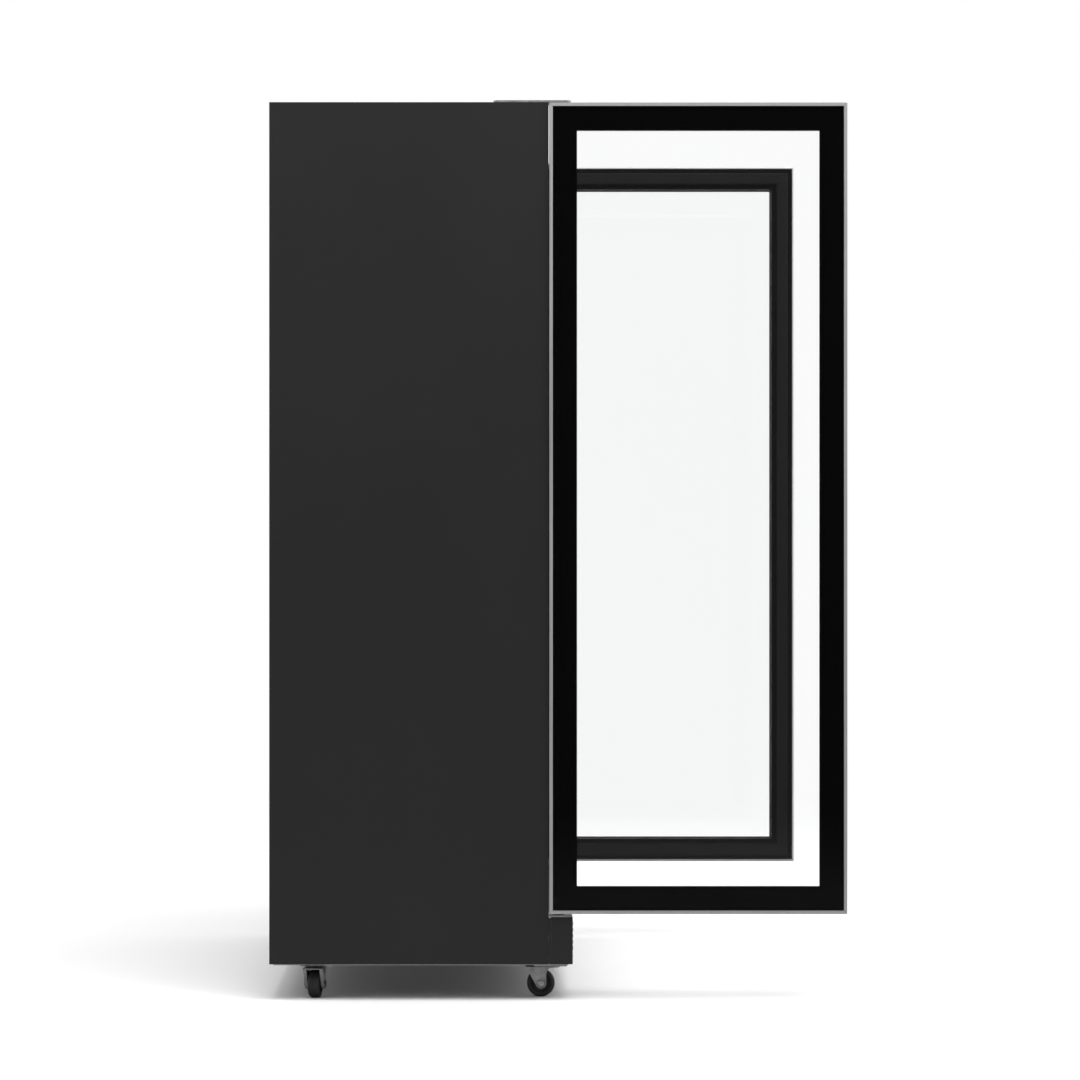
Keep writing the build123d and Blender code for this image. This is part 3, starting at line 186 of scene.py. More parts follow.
def spangled(name):
    """Hot-dip galvanised sheet: crystal patches of slightly different brightness."""
    look = Look(name, metallic=1.0)
    cells = look.add("ShaderNodeTexVoronoi", feature="F1")
    cells.inputs["Scale"].default_value = 130.0
    look.link(look.place, cells.inputs["Vector"])
    value = look.add("ShaderNodeSeparateColor")
    look.link(cells.outputs["Color"], value.inputs["Color"])
    patch = value.outputs["Red"]
    look.set("Base Color", look.tint(patch, grey(0.47), grey(0.54), start=0.0, end=1.0))
    look.set("Roughness", look.spread(patch, 0.38, 0.45, start=0.0, end=1.0))
    look.relief(look.noise(260.0, detail=4.0), strength=0.15, distance=0.00008)
    return look.material


def moulded(
    name, dark, light, roughness=(0.5, 0.62), grain=1400.0, depth=0.00006, specular=0.35
):
    """Moulded plastic or rubber with a fine spark-eroded grain."""
    look = Look(name, Specular_IOR_Level=specular)
    look.set("Base Color", look.tint(look.noise(40.0, detail=4.0), dark, light))
    look.set("Roughness", look.spread(look.noise(110.0, detail=4.0), *roughness))
    look.relief(look.noise(grain, detail=2.0), strength=0.4, distance=depth)
    return look.material


def scuffed_tread(name):
    """Caster wheel: hard rubber with dust and scuffs from the floor in its tread."""
    look = Look(name, Specular_IOR_Level=0.3)
    body = look.tint(look.noise(60.0, detail=4.0), grey(0.020), grey(0.032))
    scuffs = look.noise(210.0, detail=6.0)
    dust = look.tint(scuffs, grey(0.020), grey(0.095, warmth=0.06), start=0.45, end=0.8)
    dusty = look.spread(look.noise(34.0), 0.0, 0.5, start=0.5, end=0.75)
    look.set("Base Color", look.mixed(dusty, body, dust))
    look.set("Roughness", look.spread(look.noise(150.0, detail=4.0), 0.42, 0.66))
    look.relief(look.noise(700.0, detail=4.0), strength=0.35, distance=0.00012)
    return look.material


def clear_pane(name):
    """Float glass, faintly green and with wiped streaks, which lamps shine through."""
    look = Look(name, Transmission_Weight=1.0, IOR=1.25, Specular_IOR_Level=0.25)
    tone = look.noise(1.3, detail=2.0)
    look.set("Base Color", look.tint(tone, (0.996, 1.0, 0.998), (0.999, 1.0, 1.0)))
    streaks = look.noise(1.0, detail=4.0, stretch=(5.0, 5.0, 1.2))
    look.set("Roughness", look.spread(streaks, 0.0, 0.012, start=0.5, end=0.8))
    lamps = look.add("ShaderNodeMixShader")
    look.link(look.add("ShaderNodeLightPath").outputs["Is Shadow Ray"], lamps.inputs["Fac"])
    look.link(look.shader.outputs["BSDF"], lamps.inputs[1])
    look.link(look.add("ShaderNodeBsdfTransparent").outputs["BSDF"], lamps.inputs[2])
    look.link(lamps.outputs["Shader"], look.nodes["Material Output"].inputs["Surface"])
    return look.material


def ceramic(name):
    """Black ceramic ink fired on the glass: smooth, with a slightly uneven gloss."""
    look = Look(name, Specular_IOR_Level=0.03)
    look.set("Base Color", look.tint(look.noise(40.0, detail=4.0), grey(0.0008), grey(0.0014)))
    look.set("Roughness", look.spread(look.noise(6.0, detail=4.0), 0.3, 0.4))
    return look.material


def foam_block(name):
    """Poured foam: pale yellow, with open cells."""
    look = Look(name, roughness=0.9)
    cells = look.add("ShaderNodeTexVoronoi")
    cells.inputs["Scale"].default_value = 420.0
    look.link(look.place, cells.inputs["Vector"])
    tone = look.noise(18.0, detail=5.0)
    look.set("Base Color", look.tint(tone, (0.62, 0.47, 0.22), (0.78, 0.64, 0.36)))
    look.relief(cells.outputs["Distance"], strength=0.5, distance=0.0006)
    return look.material


def copper_pipe(name):
    """Copper tube, darker where it has oxidised."""
    look = Look(name, metallic=1.0)
    stains = look.noise(45.0, detail=5.0)
    oxidised, clean = (0.42, 0.16, 0.08), (0.82, 0.42, 0.27)
    look.set("Base Color", look.tint(stains, oxidised, clean, start=0.35, end=0.6))
    look.set("Roughness", look.spread(look.noise(90.0, detail=4.0), 0.24, 0.44))
    look.relief(look.noise(500.0), strength=0.2, distance=0.00005)
    return look.material


def lamp_lens(name):
    """Frosted white lens over the light strip, unlit."""
    look = Look(name, roughness=0.4, Subsurface_Weight=0.25, Subsurface_Scale=0.004)
    look.set("Base Color", look.tint(look.noise(9.0, detail=2.0), grey(0.80), grey(0.88)))
    flutes = look.noise(1.0, detail=2.0, stretch=(1800.0, 1800.0, 2.0))
    look.relief(flutes, strength=0.2, distance=0.00006)
    return look.material


upright = (700.0, 700.0, 2.5)
across_the_fins = (40.0, 40.0, 900.0)
any_way = (300.0, 300.0, 300.0)
looks = {
    "black_paint": powder_coat("black powder coat", grey(0.0148), grey(0.0168)),
    "galvanised": spangled("galvanised sheet"),
    "foam": foam_block("poured foam"),
    "white_liner": powder_coat(
        "white liner paint", grey(0.70), grey(0.76), (0.30, 0.42), specular=0.45, peel=0.25
    ),
    "zinc": plated("zinc plate", grey(0.32), grey(0.52), (0.34, 0.5)),
    "bright_zinc": plated("bright zinc plate", grey(0.34), grey(0.55), (0.2, 0.34)),
    "compressor_black": powder_coat(
        "compressor enamel", grey(0.008), grey(0.014), (0.14, 0.24), specular=0.5, peel=0.6
    ),
    "rubber": moulded("mount rubber", grey(0.010), grey(0.018), (0.62, 0.78)),
    "wheel_rubber": scuffed_tread("caster tread"),
    "coil_aluminium": brushed("coil fins", grey(0.42), grey(0.60), across_the_fins, (0.3, 0.46)),
    "fan_aluminium": brushed("fan sheet", grey(0.42), grey(0.56), any_way),
    "motor_grey": powder_coat(
        "motor enamel", grey(0.07), grey(0.10), (0.3, 0.42), specular=0.5, peel=0.5
    ),
    "black_plastic": moulded("black moulding", grey(0.010), grey(0.017)),
    "white_plastic": moulded(
        "white moulding", grey(0.60), grey(0.68), (0.34, 0.46), specular=0.5
    ),
    "copper": copper_pipe("copper pipe"),
    "light_lens": lamp_lens("frosted lens"),
    "white_wire": powder_coat(
        "coated wire", grey(0.66), grey(0.74), (0.28, 0.38), specular=0.5, peel=0.3
    ),
    "switch_red": moulded(
        "switch rocker", (0.30, 0.006, 0.006), (0.42, 0.010, 0.010), (0.2, 0.3), specular=0.5
    ),
    "silver_aluminium": brushed(
        "anodised trim", grey(0.50), grey(0.62), upright, (0.46, 0.56)
    ),
    "clear_glass": clear_pane("float glass"),
    "black_border": ceramic("ceramic border"),
    "inner_black": moulded(
        "inner frame moulding", grey(0.0012), grey(0.0022), (0.36, 0.5), specular=0.05
    ),
    "gasket_rubber": moulded(
        "gasket rubber", grey(0.0045), grey(0.0065), (0.55, 0.7),
        grain=900.0, depth=0.00008, specular=0.1,
    ),
}
slot_of = {row["node"]: row["material_slot"] for row in frame["record"]["subparts"]}


def soften(piece, width):
    """Rounds the piece's sharp edges by a small width."""
    weld = piece.modifiers.new("weld", "WELD")
    weld.merge_threshold = 0.00001
    bevel = piece.modifiers.new("edge", "BEVEL")
    bevel.width = width
    bevel.segments = 2
    bevel.limit_method = "ANGLE"
    bevel.angle_limit = math.radians(35)
    bevel.harden_normals = True


for name, piece in nodes.items():
    piece.data.materials.clear()
    piece.data.materials.append(looks[slot_of[name]])

# ---------------------------------------------------------------- camera, light and floor
shooting_distance = 7.944  # from the left door's outer face, square on to the cabinet's left side
lens_beyond_front = 0.160  # the lens stands this far behind the cabinet's front plane
lens_height = 1.028
camera = bpy.data.objects.new("camera", bpy.data.cameras.new("camera"))
bpy.context.scene.collection.objects.link(camera)
camera.location = (-door_face_x - shooting_distance, front_y + lens_beyond_front, lens_height)
camera.rotation_euler = (math.radians(90), 0, math.radians(-90))
camera.data.sensor_width = 36
camera.data.lens = 116.8
camera.data.shift_x = 0.0574
camera.data.shift_y = 0.0074
camera.data.clip_end = 200
bpy.context.scene.camera = camera
bpy.context.scene.view_settings.view_transform = "Standard"


def soft_light(name, place, size, power):
    """A large lamp aimed at the middle of the object."""
    middle = Vector((0, 0, 1.0))
    lamp = bpy.data.objects.new(name, bpy.data.lights.new(name, "AREA"))
    lamp.data.shape = "RECTANGLE"
    lamp.data.size, lamp.data.size_y = size
    lamp.data.energy = power
    lamp.location = place
    lamp.rotation_euler = (middle - Vector(place)).to_track_quat("-Z", "Y").to_euler()
    bpy.context.scene.collection.objects.link(lamp)


soft_light("overhead", (-2.8, -0.9, 6.5), size=(5, 5), power=420)
soft_light("left side", (-7.0, 4.5, 6.0), size=(4, 4), power=60)
soft_light("front", (0.5, -7.0, 3.5), size=(5, 4), power=90)

white = 1.0
dimmed = 0.15  # brightness that the glass and the side panel mirror from the studio's -X end
dim_end, white_end = -0.97, -0.45  # X of a unit direction, from fully dimmed to white


def seen_straight(tree, behind=0):
    """1 for what the camera sees by itself or through glass, 0 for mirrored and scattered light.

    behind is 1 in the world's own shader, which counts one bounce more than a surface does.
    """
    rays = tree.nodes.new("ShaderNodeLightPath")

    def worked_out(operation, first, second, third=0.0):
        node = tree.nodes.new("ShaderNodeMath")
        node.operation = operation
        for socket, value in zip(node.inputs, (first, second, third)):
            if isinstance(value, (int, float)):
                socket.default_value = value
            else:
                tree.links.new(value, socket)
        return node.outputs["Value"]

    same_count = 0.5  # the two counts are whole numbers
    bounces = worked_out("SUBTRACT", rays.outputs["Ray Depth"], behind)
    unbent = worked_out("COMPARE", bounces, rays.outputs["Transmission Depth"], same_count)
    through_glass = worked_out("MULTIPLY", unbent, rays.outputs["Is Transmission Ray"])
    return worked_out("MAXIMUM", rays.outputs["Is Camera Ray"], through_glass)


def studio_brightness(tree, direction, behind=0):
    """White to look at, and dimmer towards -X in what the object's glass and paint mirror."""
    flat = tree.nodes.new("ShaderNodeVectorMath")
    flat.operation = "NORMALIZE"
    tree.links.new(direction, flat.inputs[0])
    split = tree.nodes.new("ShaderNodeSeparateXYZ")
    tree.links.new(flat.outputs["Vector"], split.inputs["Vector"])
    fade = tree.nodes.new("ShaderNodeMapRange")
    fade.interpolation_type = "SMOOTHERSTEP"
    limits = {"From Min": dim_end, "From Max": white_end, "To Min": dimmed, "To Max": white}
    for socket, number in limits.items():
        fade.inputs[socket].default_value = number
    tree.links.new(split.outputs["X"], fade.inputs["Value"])
    whiter = tree.nodes.new("ShaderNodeMath")
    whiter.operation = "MAXIMUM"
    tree.links.new(seen_straight(tree, behind), whiter.inputs[0])
    tree.links.new(fade.outputs["Result"], whiter.inputs[1])
    return whiter.outputs["Value"]


world = bpy.data.worlds.new("studio")
world.use_nodes = True
bpy.context.scene.world = world
backdrop = world.node_tree.nodes["Background"]
backdrop.inputs["Color"].default_value = (1, 1, 1, 1)
view_direction = world.node_tree.nodes.new("ShaderNodeTexCoord").outputs["Generated"]
world_brightness = studio_brightness(world.node_tree, view_direction, behind=1)
world.node_tree.links.new(world_brightness, backdrop.inputs["Strength"])

floor_size = 30  # half its side
lit_reach, glow_reach = 1.8, 6.0  # the floor is lit out to the first, and glows from the second
floor_look = Look("pale floor", roughness=0.6)
floor_tree = floor_look.material.node_tree
floor_tones = floor_look.tint(floor_look.noise(0.8), grey(0.86), grey(0.88))
cast_back = floor_look.tint(floor_look.noise(0.8), grey(0.29), grey(0.31))
floor_look.set("Base Color", floor_look.mixed(seen_straight(floor_tree), cast_back, floor_tones))
glow = floor_look.add("ShaderNodeEmission")
floor_look.link(studio_brightness(floor_tree, floor_look.place), glow.inputs["Strength"])
distance = floor_look.add("ShaderNodeVectorMath", operation="LENGTH")
floor_look.link(floor_look.place, distance.inputs[0])
far_share = floor_look.spread(distance.outputs["Value"], 0.0, 1.0, lit_reach, glow_reach)
blend = floor_look.add("ShaderNodeMixShader")
floor_look.link(far_share, blend.inputs["Fac"])
floor_look.link(floor_look.shader.outputs["BSDF"], blend.inputs[1])
floor_look.link(glow.outputs["Emission"], blend.inputs[2])
floor_look.link(blend.outputs["Shader"], floor_tree.nodes["Material Output"].inputs["Surface"])
floor_mesh = bpy.data.meshes.new("floor")
floor_corners = [(x * floor_size, y * floor_size, 0) for x, y in corner_signs]
floor_mesh.from_pydata(floor_corners, [], [(0, 1, 2, 3)])
floor_mesh.materials.append(floor_look.material)
floor = bpy.data.objects.new("floor", floor_mesh)
bpy.context.scene.collection.objects.link(floor)

# ---------------------------------------------------------------- mesh building
recess_taper = 0.86  # size of a screw recess at its floor, to its size at the top


class Shape:
    """Vertices and faces gathered into one mesh."""

    def __init__(self):
        self.verts = []
        self.faces = []

    def strip(self, rings, close_ends=False):
        """Joins closed rings of points, each to the next, and caps the ends or joins them."""
        base = len(self.verts)
        count = len(rings[0])
        for ring in rings:
            self.verts.extend(tuple(point) for point in ring)
        for i in range(len(rings) if close_ends else len(rings) - 1):
            here = base + i * count
            there = base + (i + 1) % len(rings) * count
            for k in range(count):
                n = (k + 1) % count
                self.faces.append((here + k, here + n, there + n, there + k))
        if not close_ends:
            last = base + (len(rings) - 1) * count
            self.faces.append(tuple(base + k for k in reversed(range(count))))
            self.faces.append(tuple(last + k for k in range(count)))

    def tube(self, points, radius, sides=10, closed=False):
        """A round wire through points, with mitred corners."""
        points = [Vector(point) for point in points]
        count = len(points)
        rings = []
        side = None
        for i, point in enumerate(points):
            if closed:
                before, after = points[i - 1], points[(i + 1) % count]
            else:
                before, after = points[max(i - 1, 0)], points[min(i + 1, count - 1)]
            ahead = (after - point).normalized() + (point - before).normalized()
            ahead.normalize()
            if side is None:
                side = ahead.orthogonal().normalized()
            side = (side - ahead * side.dot(ahead)).normalized()
            up = ahead.cross(side)
            turns = [2 * math.pi * k / sides for k in range(sides)]
            rings.append(
                [point + (side * math.cos(turn) + up * math.sin(turn)) * radius for turn in turns]
            )
        self.strip(rings, close_ends=closed)

    def lathe(self, profile, centre, axis, sides=48):
        """A closed ring: (along, radius) points turned about an axis."""
        centre, axis = Vector(centre), Vector(axis).normalized()
        side = axis.orthogonal().normalized()
        up = axis.cross(side)
        rings = []
        for k in range(sides):
            turn = 2 * math.pi * k / sides
            out = side * math.cos(turn) + up * math.sin(turn)
            rings.append([centre + axis * along + out * radius for along, radius in profile])
        self.strip(rings, close_ends=True)

    def prism(self, outline, origin, across, up, push):
        """An outline in the plane of across and up, pushed along a vector."""
        origin, across, up = Vector(origin), Vector(across), Vector(up)
        near = [origin + across * a + up * b for a, b in outline]
        self.strip([near, [point + Vector(push) for point in near]])

    def head(self, place, out, outline, recess, sides=48):
        """A screw: (along, radius) points from the end of its shank, and a recess in its top."""
        place, out = Vector(place), Vector(out)
        side = Vector((0, 0, 1)) if abs(out.z) < 0.5 else Vector((1, 0, 0))
        up = out.cross(side)
        turns = [2 * math.pi * k / sides for k in range(sides)]
        spokes = [side * math.cos(turn) + up * math.sin(turn) for turn in turns]
        rings = [
            [place + out * along + spoke * radius for spoke in spokes] for along, radius in outline
        ]
        top = outline[-1][0]
        shape, radius, depth = recess
        for along, share in ((top, 1.0), (top - depth, recess_taper)):
            reaches = [share * shape(turn, radius) for turn in turns]
            rings.append(
                [place + out * along + spoke * reach for spoke, reach in zip(spokes, reaches)]
            )
        self.strip(rings)

    def piece(self, name, body, slot, smooth=35, replaces=(), edge=0.0):
        """Makes the mesh a named piece that rides on a body."""
        mesh = bpy.data.meshes.new(name)
        mesh.from_pydata(self.verts, [], self.faces)
        mesh.validate()
        mesh.materials.append(looks[slot])
        obj = bpy.data.objects.new(name, mesh)
        bpy.context.scene.collection.objects.link(obj)
        recalculate(mesh)
        mesh.polygons.foreach_set("use_smooth", [True] * len(mesh.polygons))
        mesh.set_sharp_from_angle(angle=math.radians(smooth))
        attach(obj, body)
        if replaces:
            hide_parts(*replaces)
        if edge:
            soften(obj, edge)


def recalculate(mesh):
    """Turns every face to look outwards."""
    work = bmesh.new()
    work.from_mesh(mesh)
    bmesh.ops.remove_doubles(work, verts=work.verts, dist=0.000001)
    bmesh.ops.recalc_face_normals(work, faces=work.faces)
    work.to_mesh(mesh)
    work.free()


def arc(centre, radius, start, end, steps):
    """Points on a circle from one angle to another, in degrees."""
    turns = [math.radians(start + (end - start) * i / steps) for i in range(steps + 1)]
    return [
        (centre[0] + radius * math.cos(turn), centre[1] + radius * math.sin(turn)) for turn in turns
    ]


def rounded(width, height, radius, steps):
    """A rectangle about the origin with round corners."""
    a, b = width / 2 - radius, height / 2 - radius
    points = []
    for (x, y), start in zip(((a, b), (-a, b), (-a, -b), (a, -b)), (0, 90, 180, 270)):
        points += arc((x, y), radius, start, start + 90, steps)
    return points


# ---------------------------------------------------------------- wire shelves
shelf_levels = (0.475, 0.800, 1.125, 1.450)
shelf_low, shelf_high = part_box("wire_shelves")
shelf_inner_x = 0.008  # from the cabinet's middle to a shelf
rim_radius, rim_corner = 0.003, 0.014
brace_radius = 0.0025
brace_shares = (0.2, 0.5, 0.8)  # of the way from front to back
wire_radius, wire_pitch = 0.0014, 0.0254
wire_margin = 0.03  # no wire in this much of the width, both ends together
wire_drop = 0.004  # length of the slope down to the rim at a wire's ends
wire_seat = 0.001  # height of a wire's ends over the middle of the rim


def wire_shelf(shape, side, level):
    """One shelf: a rod rim, braces across, and fine wires from front to back over them."""
    x0, x1 = sorted((side * shelf_inner_x, side * shelf_high.x))
    y0, y1 = shelf_low.y, shelf_high.y
    rim_z = level + rim_radius
    centre = ((x0 + x1) / 2, (y0 + y1) / 2)
    outline = rounded(x1 - x0 - 2 * rim_radius, y1 - y0 - 2 * rim_radius, rim_corner, 6)
    rim = [(centre[0] + a, centre[1] + b, rim_z) for a, b in outline]
    shape.tube(rim, rim_radius, 12, closed=True)
    for share in brace_shares:
        y = y0 + (y1 - y0) * share
        shape.tube([(x0 + rim_radius, y, rim_z), (x1 - rim_radius, y, rim_z)], brace_radius)
    wires = int((x1 - x0 - wire_margin) / wire_pitch)
    front, back = y0 + rim_radius, y1 - rim_radius
    top, seat = rim_z + brace_radius + wire_radius, rim_z + wire_seat
    for i in range(wires + 1):
        x = centre[0] + (i - wires / 2) * wire_pitch
        bends = ((front, seat), (front + wire_drop, top), (back - wire_drop, top), (back, seat))
        shape.tube([(x, y, z) for y, z in bends], wire_radius, 8)


shelves = Shape()
for side in (-1, 1):
    for level in shelf_levels:
        wire_shelf(shelves, side, level)
shelves.piece("wire_shelf_set", "root", "white_wire", replaces=["wire_shelves"])

# ---------------------------------------------------------------- door gaskets
gasket_centre = 0.032  # middle of the gasket, from the door's edge
door_back = 0.042  # depth of the door's back behind its outer face
half_gasket = [
    (0.0017, -0.003), (0.0017, -0.0002), (0.0145, -0.0002), (0.0145, 0.0012),
    (0.0100, 0.0019), (0.0086, 0.0031), (0.0112, 0.0046), (0.0118, 0.0055),
    (0.0088, 0.0067), (0.0084, 0.0074), (0.0122, 0.0080), (0.0140, 0.0088),
    (0.0145, 0.0100), (0.0141, 0.0114), (0.0128, 0.0121), (0.0100, 0.0122),
]  # half of its section: out from its middle, and up from the door's back


def door_point(side, signs, inset, depth):
    """A point near a corner of the door: inset from both edges, and depth behind its face."""
    y = door_middle_y + signs[0] * (door_width / 2 - inset)
    z = door_middle_z + signs[1] * (door_height / 2 - inset)
    return Vector((side * (door_face_x - depth), y, z))


for side, name in door_sides:
    gasket = Shape()
    section = [(gasket_centre + a, door_back + b) for a, b in half_gasket]
    section += [(gasket_centre - a, door_back + b) for a, b in reversed(half_gasket)]
    corners = [[door_point(side, signs, *place) for place in section] for signs in corner_signs]
    gasket.strip(corners, close_ends=True)
    gasket.piece(
        f"{name}_bellows_gasket", f"{name}_door", "gasket_rubber", 40,
        replaces=[f"{name}_door_gasket"],
    )

# ---------------------------------------------------------------- mitre lines of the door corners
seam = 0.00015  # half the width of a line
seam_rise = 0.00006
trim_mitre = (0.0008, 0.0075)  # insets of a line's ends on the outer trim
plate_mitre = (0.006, 0.060)  # and on the inner frame's plate
for side, name in door_sides:
    seams = Shape()
    for signs in corner_signs:
        for depth, insets, outwards in ((0, trim_mitre, side), (door_back, plate_mitre, -side)):
            start, end = (door_point(side, signs, inset, depth) for inset in insets)
            along = (end - start).normalized()
            length = (end - start).length
            across = along.cross(Vector((1, 0, 0)))
            outline = [(-seam, 0), (seam, 0), (seam, length), (-seam, length)]
            seams.prism(outline, start, across, along, (outwards * seam_rise, 0, 0))
    seams.piece(f"{name}_corner_seams", f"{name}_door", "inner_black")


# ---------------------------------------------------------------- fasteners
def hexagon_recess(turn, radius):
    """How far a hexagon socket reaches at an angle. Its flats are at the radius."""
    return radius / math.cos((turn % (math.pi / 3)) - math.pi / 6)


def cross_recess(turn, radius):
    """How far a cross recess reaches at an angle. Its arms end at the radius."""
    arm_width = 0.3 * radius
    folded = turn % (math.pi / 2)
    folded = min(folded, math.pi / 2 - folded)
    return min(radius / math.cos(folded), arm_width / max(math.sin(folded), 0.01))


def with_shank(length, radius, head):
    """A head's outline with the end of its shank before it."""
    return [(-length, radius)] + head


# heads as (along, radius), and recesses as (outline, radius, depth)
pan_head = [(0, 0.0020), (0, 0.0040), (0.0008, 0.0040), (0.0015, 0.0032), (0.0019, 0.0022)]
pan_recess = (cross_recess, 0.0017, 0.0010)
button_head = [
    (0, 0.0040), (0, 0.0070), (0.0010, 0.0070), (0.0020, 0.0060), (0.0027, 0.0046),
    (0.0029, 0.0038),
]
button_recess = (hexagon_recess, 0.0024, 0.0016)
leg_head = [(0, 0.0040), (0, 0.0050), (0.0026, 0.0050), (0.0030, 0.0046), (0.0030, 0.0034)]
flat_head = [(-0.0005, 0.0030), (-0.0002, 0.0056), (0, 0.0058)]
flat_recess = (cross_recess, 0.0026, 0.0014)
low_head = [(0, 0.0020), (0, 0.0038), (0.0004, 0.0038), (0.0007, 0.0033), (0.0008, 0.0020)]
low_recess = (cross_recess, 0.0016, 0.0006)
forward, backward, upward, downward = (0, -1, 0), (0, 1, 0), (0, 0, 1), (0, 0, -1)

screw_inset = 0.014  # from a sheet's edge to its screws
plinth_screw_inset = 0.045  # from the cabinet's side
plinth_screw_x = half_width - plinth_screw_inset
plinth_screw_z = (plinth_low.z + screw_inset, plinth_high.z - screw_inset)
grille_gap = 0.001  # round the grille, in its opening
grille_inset_x, grille_inset_z = 0.010, 0.007  # from the opening's edge to the screws
grille_screw_x = grille_high.x + grille_gap - grille_inset_x
grille_screw_z = (
    grille_low.z - grille_gap + grille_inset_z, grille_high.z + grille_gap - grille_inset_z
)
plinth_screw = with_shank(0.010, 0.002, pan_head)
grille_screw = with_shank(0.001, 0.002, pan_head)
screws = Shape()
for x in (-plinth_screw_x, plinth_screw_x):
    for z in plinth_screw_z:
        screws.head((x, plinth_low.y, z), forward, plinth_screw, pan_recess)
for x in (-grille_screw_x, 0, grille_screw_x):
    for z in grille_screw_z:
        screws.head((x, grille_high.y, z), backward, grille_screw, pan_recess)
screws.piece("cover_pan_heads", "root", "zinc", replaces=["cover_screws"])

side_screws, side_screw_start, side_screw_pitch = 6, 0.46, 0.296  # up each edge of the back
top_screws, top_screw_pitch = 5, 0.25  # along the back's top edge
panel_screws = Shape()
for step in range(side_screws):
    z = side_screw_start + side_screw_pitch * step
    for side in (-1, 1):
        place = (side * (half_width - screw_inset), back_y, z)
        panel_screws.head(place, backward, low_head, low_recess)
for step in range(top_screws):
    x = top_screw_pitch * (step - (top_screws - 1) / 2)
    panel_screws.head((x, back_y, cabinet_high.z - screw_inset), backward, low_head, low_recess)
for side in (-1, 1):
    for z in (cover_low.z + screw_inset, cover_high.z - screw_inset):
        place = (side * (cover_high.x - screw_inset), cover_low.y, z)
        panel_screws.head(place, forward, pan_head, pan_recess)
panel_screws.piece("panel_pan_heads", "root", "zinc")

hinge_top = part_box("top_hinges")[1].z
hinge_inset = 0.030  # from the cabinet's side to the line of the hinge bolts
hinge_x = half_width - hinge_inset
hinge_bolts_behind = (0.022, 0.061, 0.100)  # the cabinet's front plane
leg_bolts_across, leg_bolts_below = (-0.015, 0.015), (0.020, 0.034)  # below the plinth's top
plate_bolts_x, plate_bolts_y = (-0.024, 0.024), (-0.030, 0.030)  # from the kingpin
sheet = 0.003  # thickness of the bottom hinge's leg and of a caster's plate
casters = ("front_left", "front_right", "rear_left", "rear_right")
caster_places = [Vector(joints[f"{name}_swivel"]["pos_m"]) for name in casters]
plate_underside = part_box("caster_plates")[1].z - sheet
hinge_bolt = with_shank(0.0045, 0.004, button_head)
leg_bolt = with_shank(0.015, 0.004, leg_head)
plate_bolt = with_shank(0.015, 0.003, flat_head)
bolts = Shape()
for side in (-1, 1):
    for behind in hinge_bolts_behind:
        place = (side * hinge_x, front_y + behind, hinge_top)
        bolts.head(place, upward, hinge_bolt, button_recess)
    for shift in leg_bolts_across:
        for below in leg_bolts_below:
            place = (side * hinge_x + shift, front_y - sheet, plinth_high.z - below)
            bolts.head(place, forward, leg_bolt, button_recess)
for place in caster_places:
    for dx in plate_bolts_x:
        for dy in plate_bolts_y:
            under = (place.x + dx, place.y + dy, plate_underside)
            bolts.head(under, downward, plate_bolt, flat_recess)
bolts.piece("frame_bolt_heads", "root", "bright_zinc", replaces=["frame_bolts"])

# ---------------------------------------------------------------- caster wheels
half_wheel = [
    (0.01470, 0.00405), (0.01470, 0.0093), (0.0140, 0.0100), (0.0096, 0.0108),
    (0.0090, 0.0120), (0.0090, 0.0192), (0.0098, 0.0204), (0.0126, 0.0212),
    (0.0135, 0.0222), (0.0135, 0.0258), (0.0130, 0.0277), (0.0117, 0.0296),
    (0.0099, 0.0309), (0.0078, 0.0316), (0.0060, 0.03175), (0.0008, 0.03175),
    (0.0004, 0.0314),
]  # half of its section: along the axle, and out from it
wheel_profile = half_wheel + [(-along, radius) for along, radius in reversed(half_wheel)]
for name in casters:
    wheel_low, wheel_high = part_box(f"{name}_caster_wheel")
    wheel = Shape()
    wheel.lathe(wheel_profile, (wheel_low + wheel_high) / 2, joints[f"{name}_roll"]["axis"], 96)
    wheel.piece(
        f"{name}_moulded_wheel", f"{name}_wheel", "wheel_rubber", 25,
        replaces=[f"{name}_caster_wheel"],
    )

# ---------------------------------------------------------------- fans
fan_blades = 5
shaft_hole = 0.00305
blade_steps = 8  # from the hub to the tip, and from a blade's front edge to its back edge
blade_root = 0.0005  # a blade starts this far inside the hub
half_span, span_bulge, sweep = math.radians(25), math.radians(4), math.radians(16)
untwist = 0.35  # share of the pitch lost from hub to tip
camber = 0.0022
half_thickness, edge_thinning = 0.0006, 0.8


def fan(shape, centre, axis, radius, hub, hub_length, pitch):
    """Swept and cambered blades round a hub with a domed nose."""
    side = Vector((0, 0, 1))
    up = axis.cross(side)
    half = hub_length / 2
    hub_profile = [
        (-half, shaft_hole), (-half, hub - 0.001), (0.001 - half, hub), (half - 0.004, hub),
        (half - 0.001, hub - 0.003), (half, hub - 0.006), (half, shaft_hole),
    ]
    shape.lathe(hub_profile, centre, axis, 64)
    for blade in range(fan_blades):
        rings = []
        for step in range(blade_steps + 1):
            share = step / blade_steps
            r = hub - blade_root + (radius - hub + blade_root) * share
            spread = half_span + span_bulge * math.sin(share * math.pi)
            lead = 2 * math.pi * blade / fan_blades + sweep * share
            ring = []
            for face in (1, -1):
                for k in range(blade_steps + 1):
                    s = (2 * k / blade_steps - 1) * face
                    turn = lead + s * spread
                    rise = pitch * (1 - untwist * share) * s + camber * (1 - s * s)
                    rise += face * half_thickness * (1 - edge_thinning * s * s)
                    out = side * math.cos(turn) + up * math.sin(turn)
                    ring.append(centre + out * r + axis * rise)
            rings.append(ring)
        shape.strip(rings)


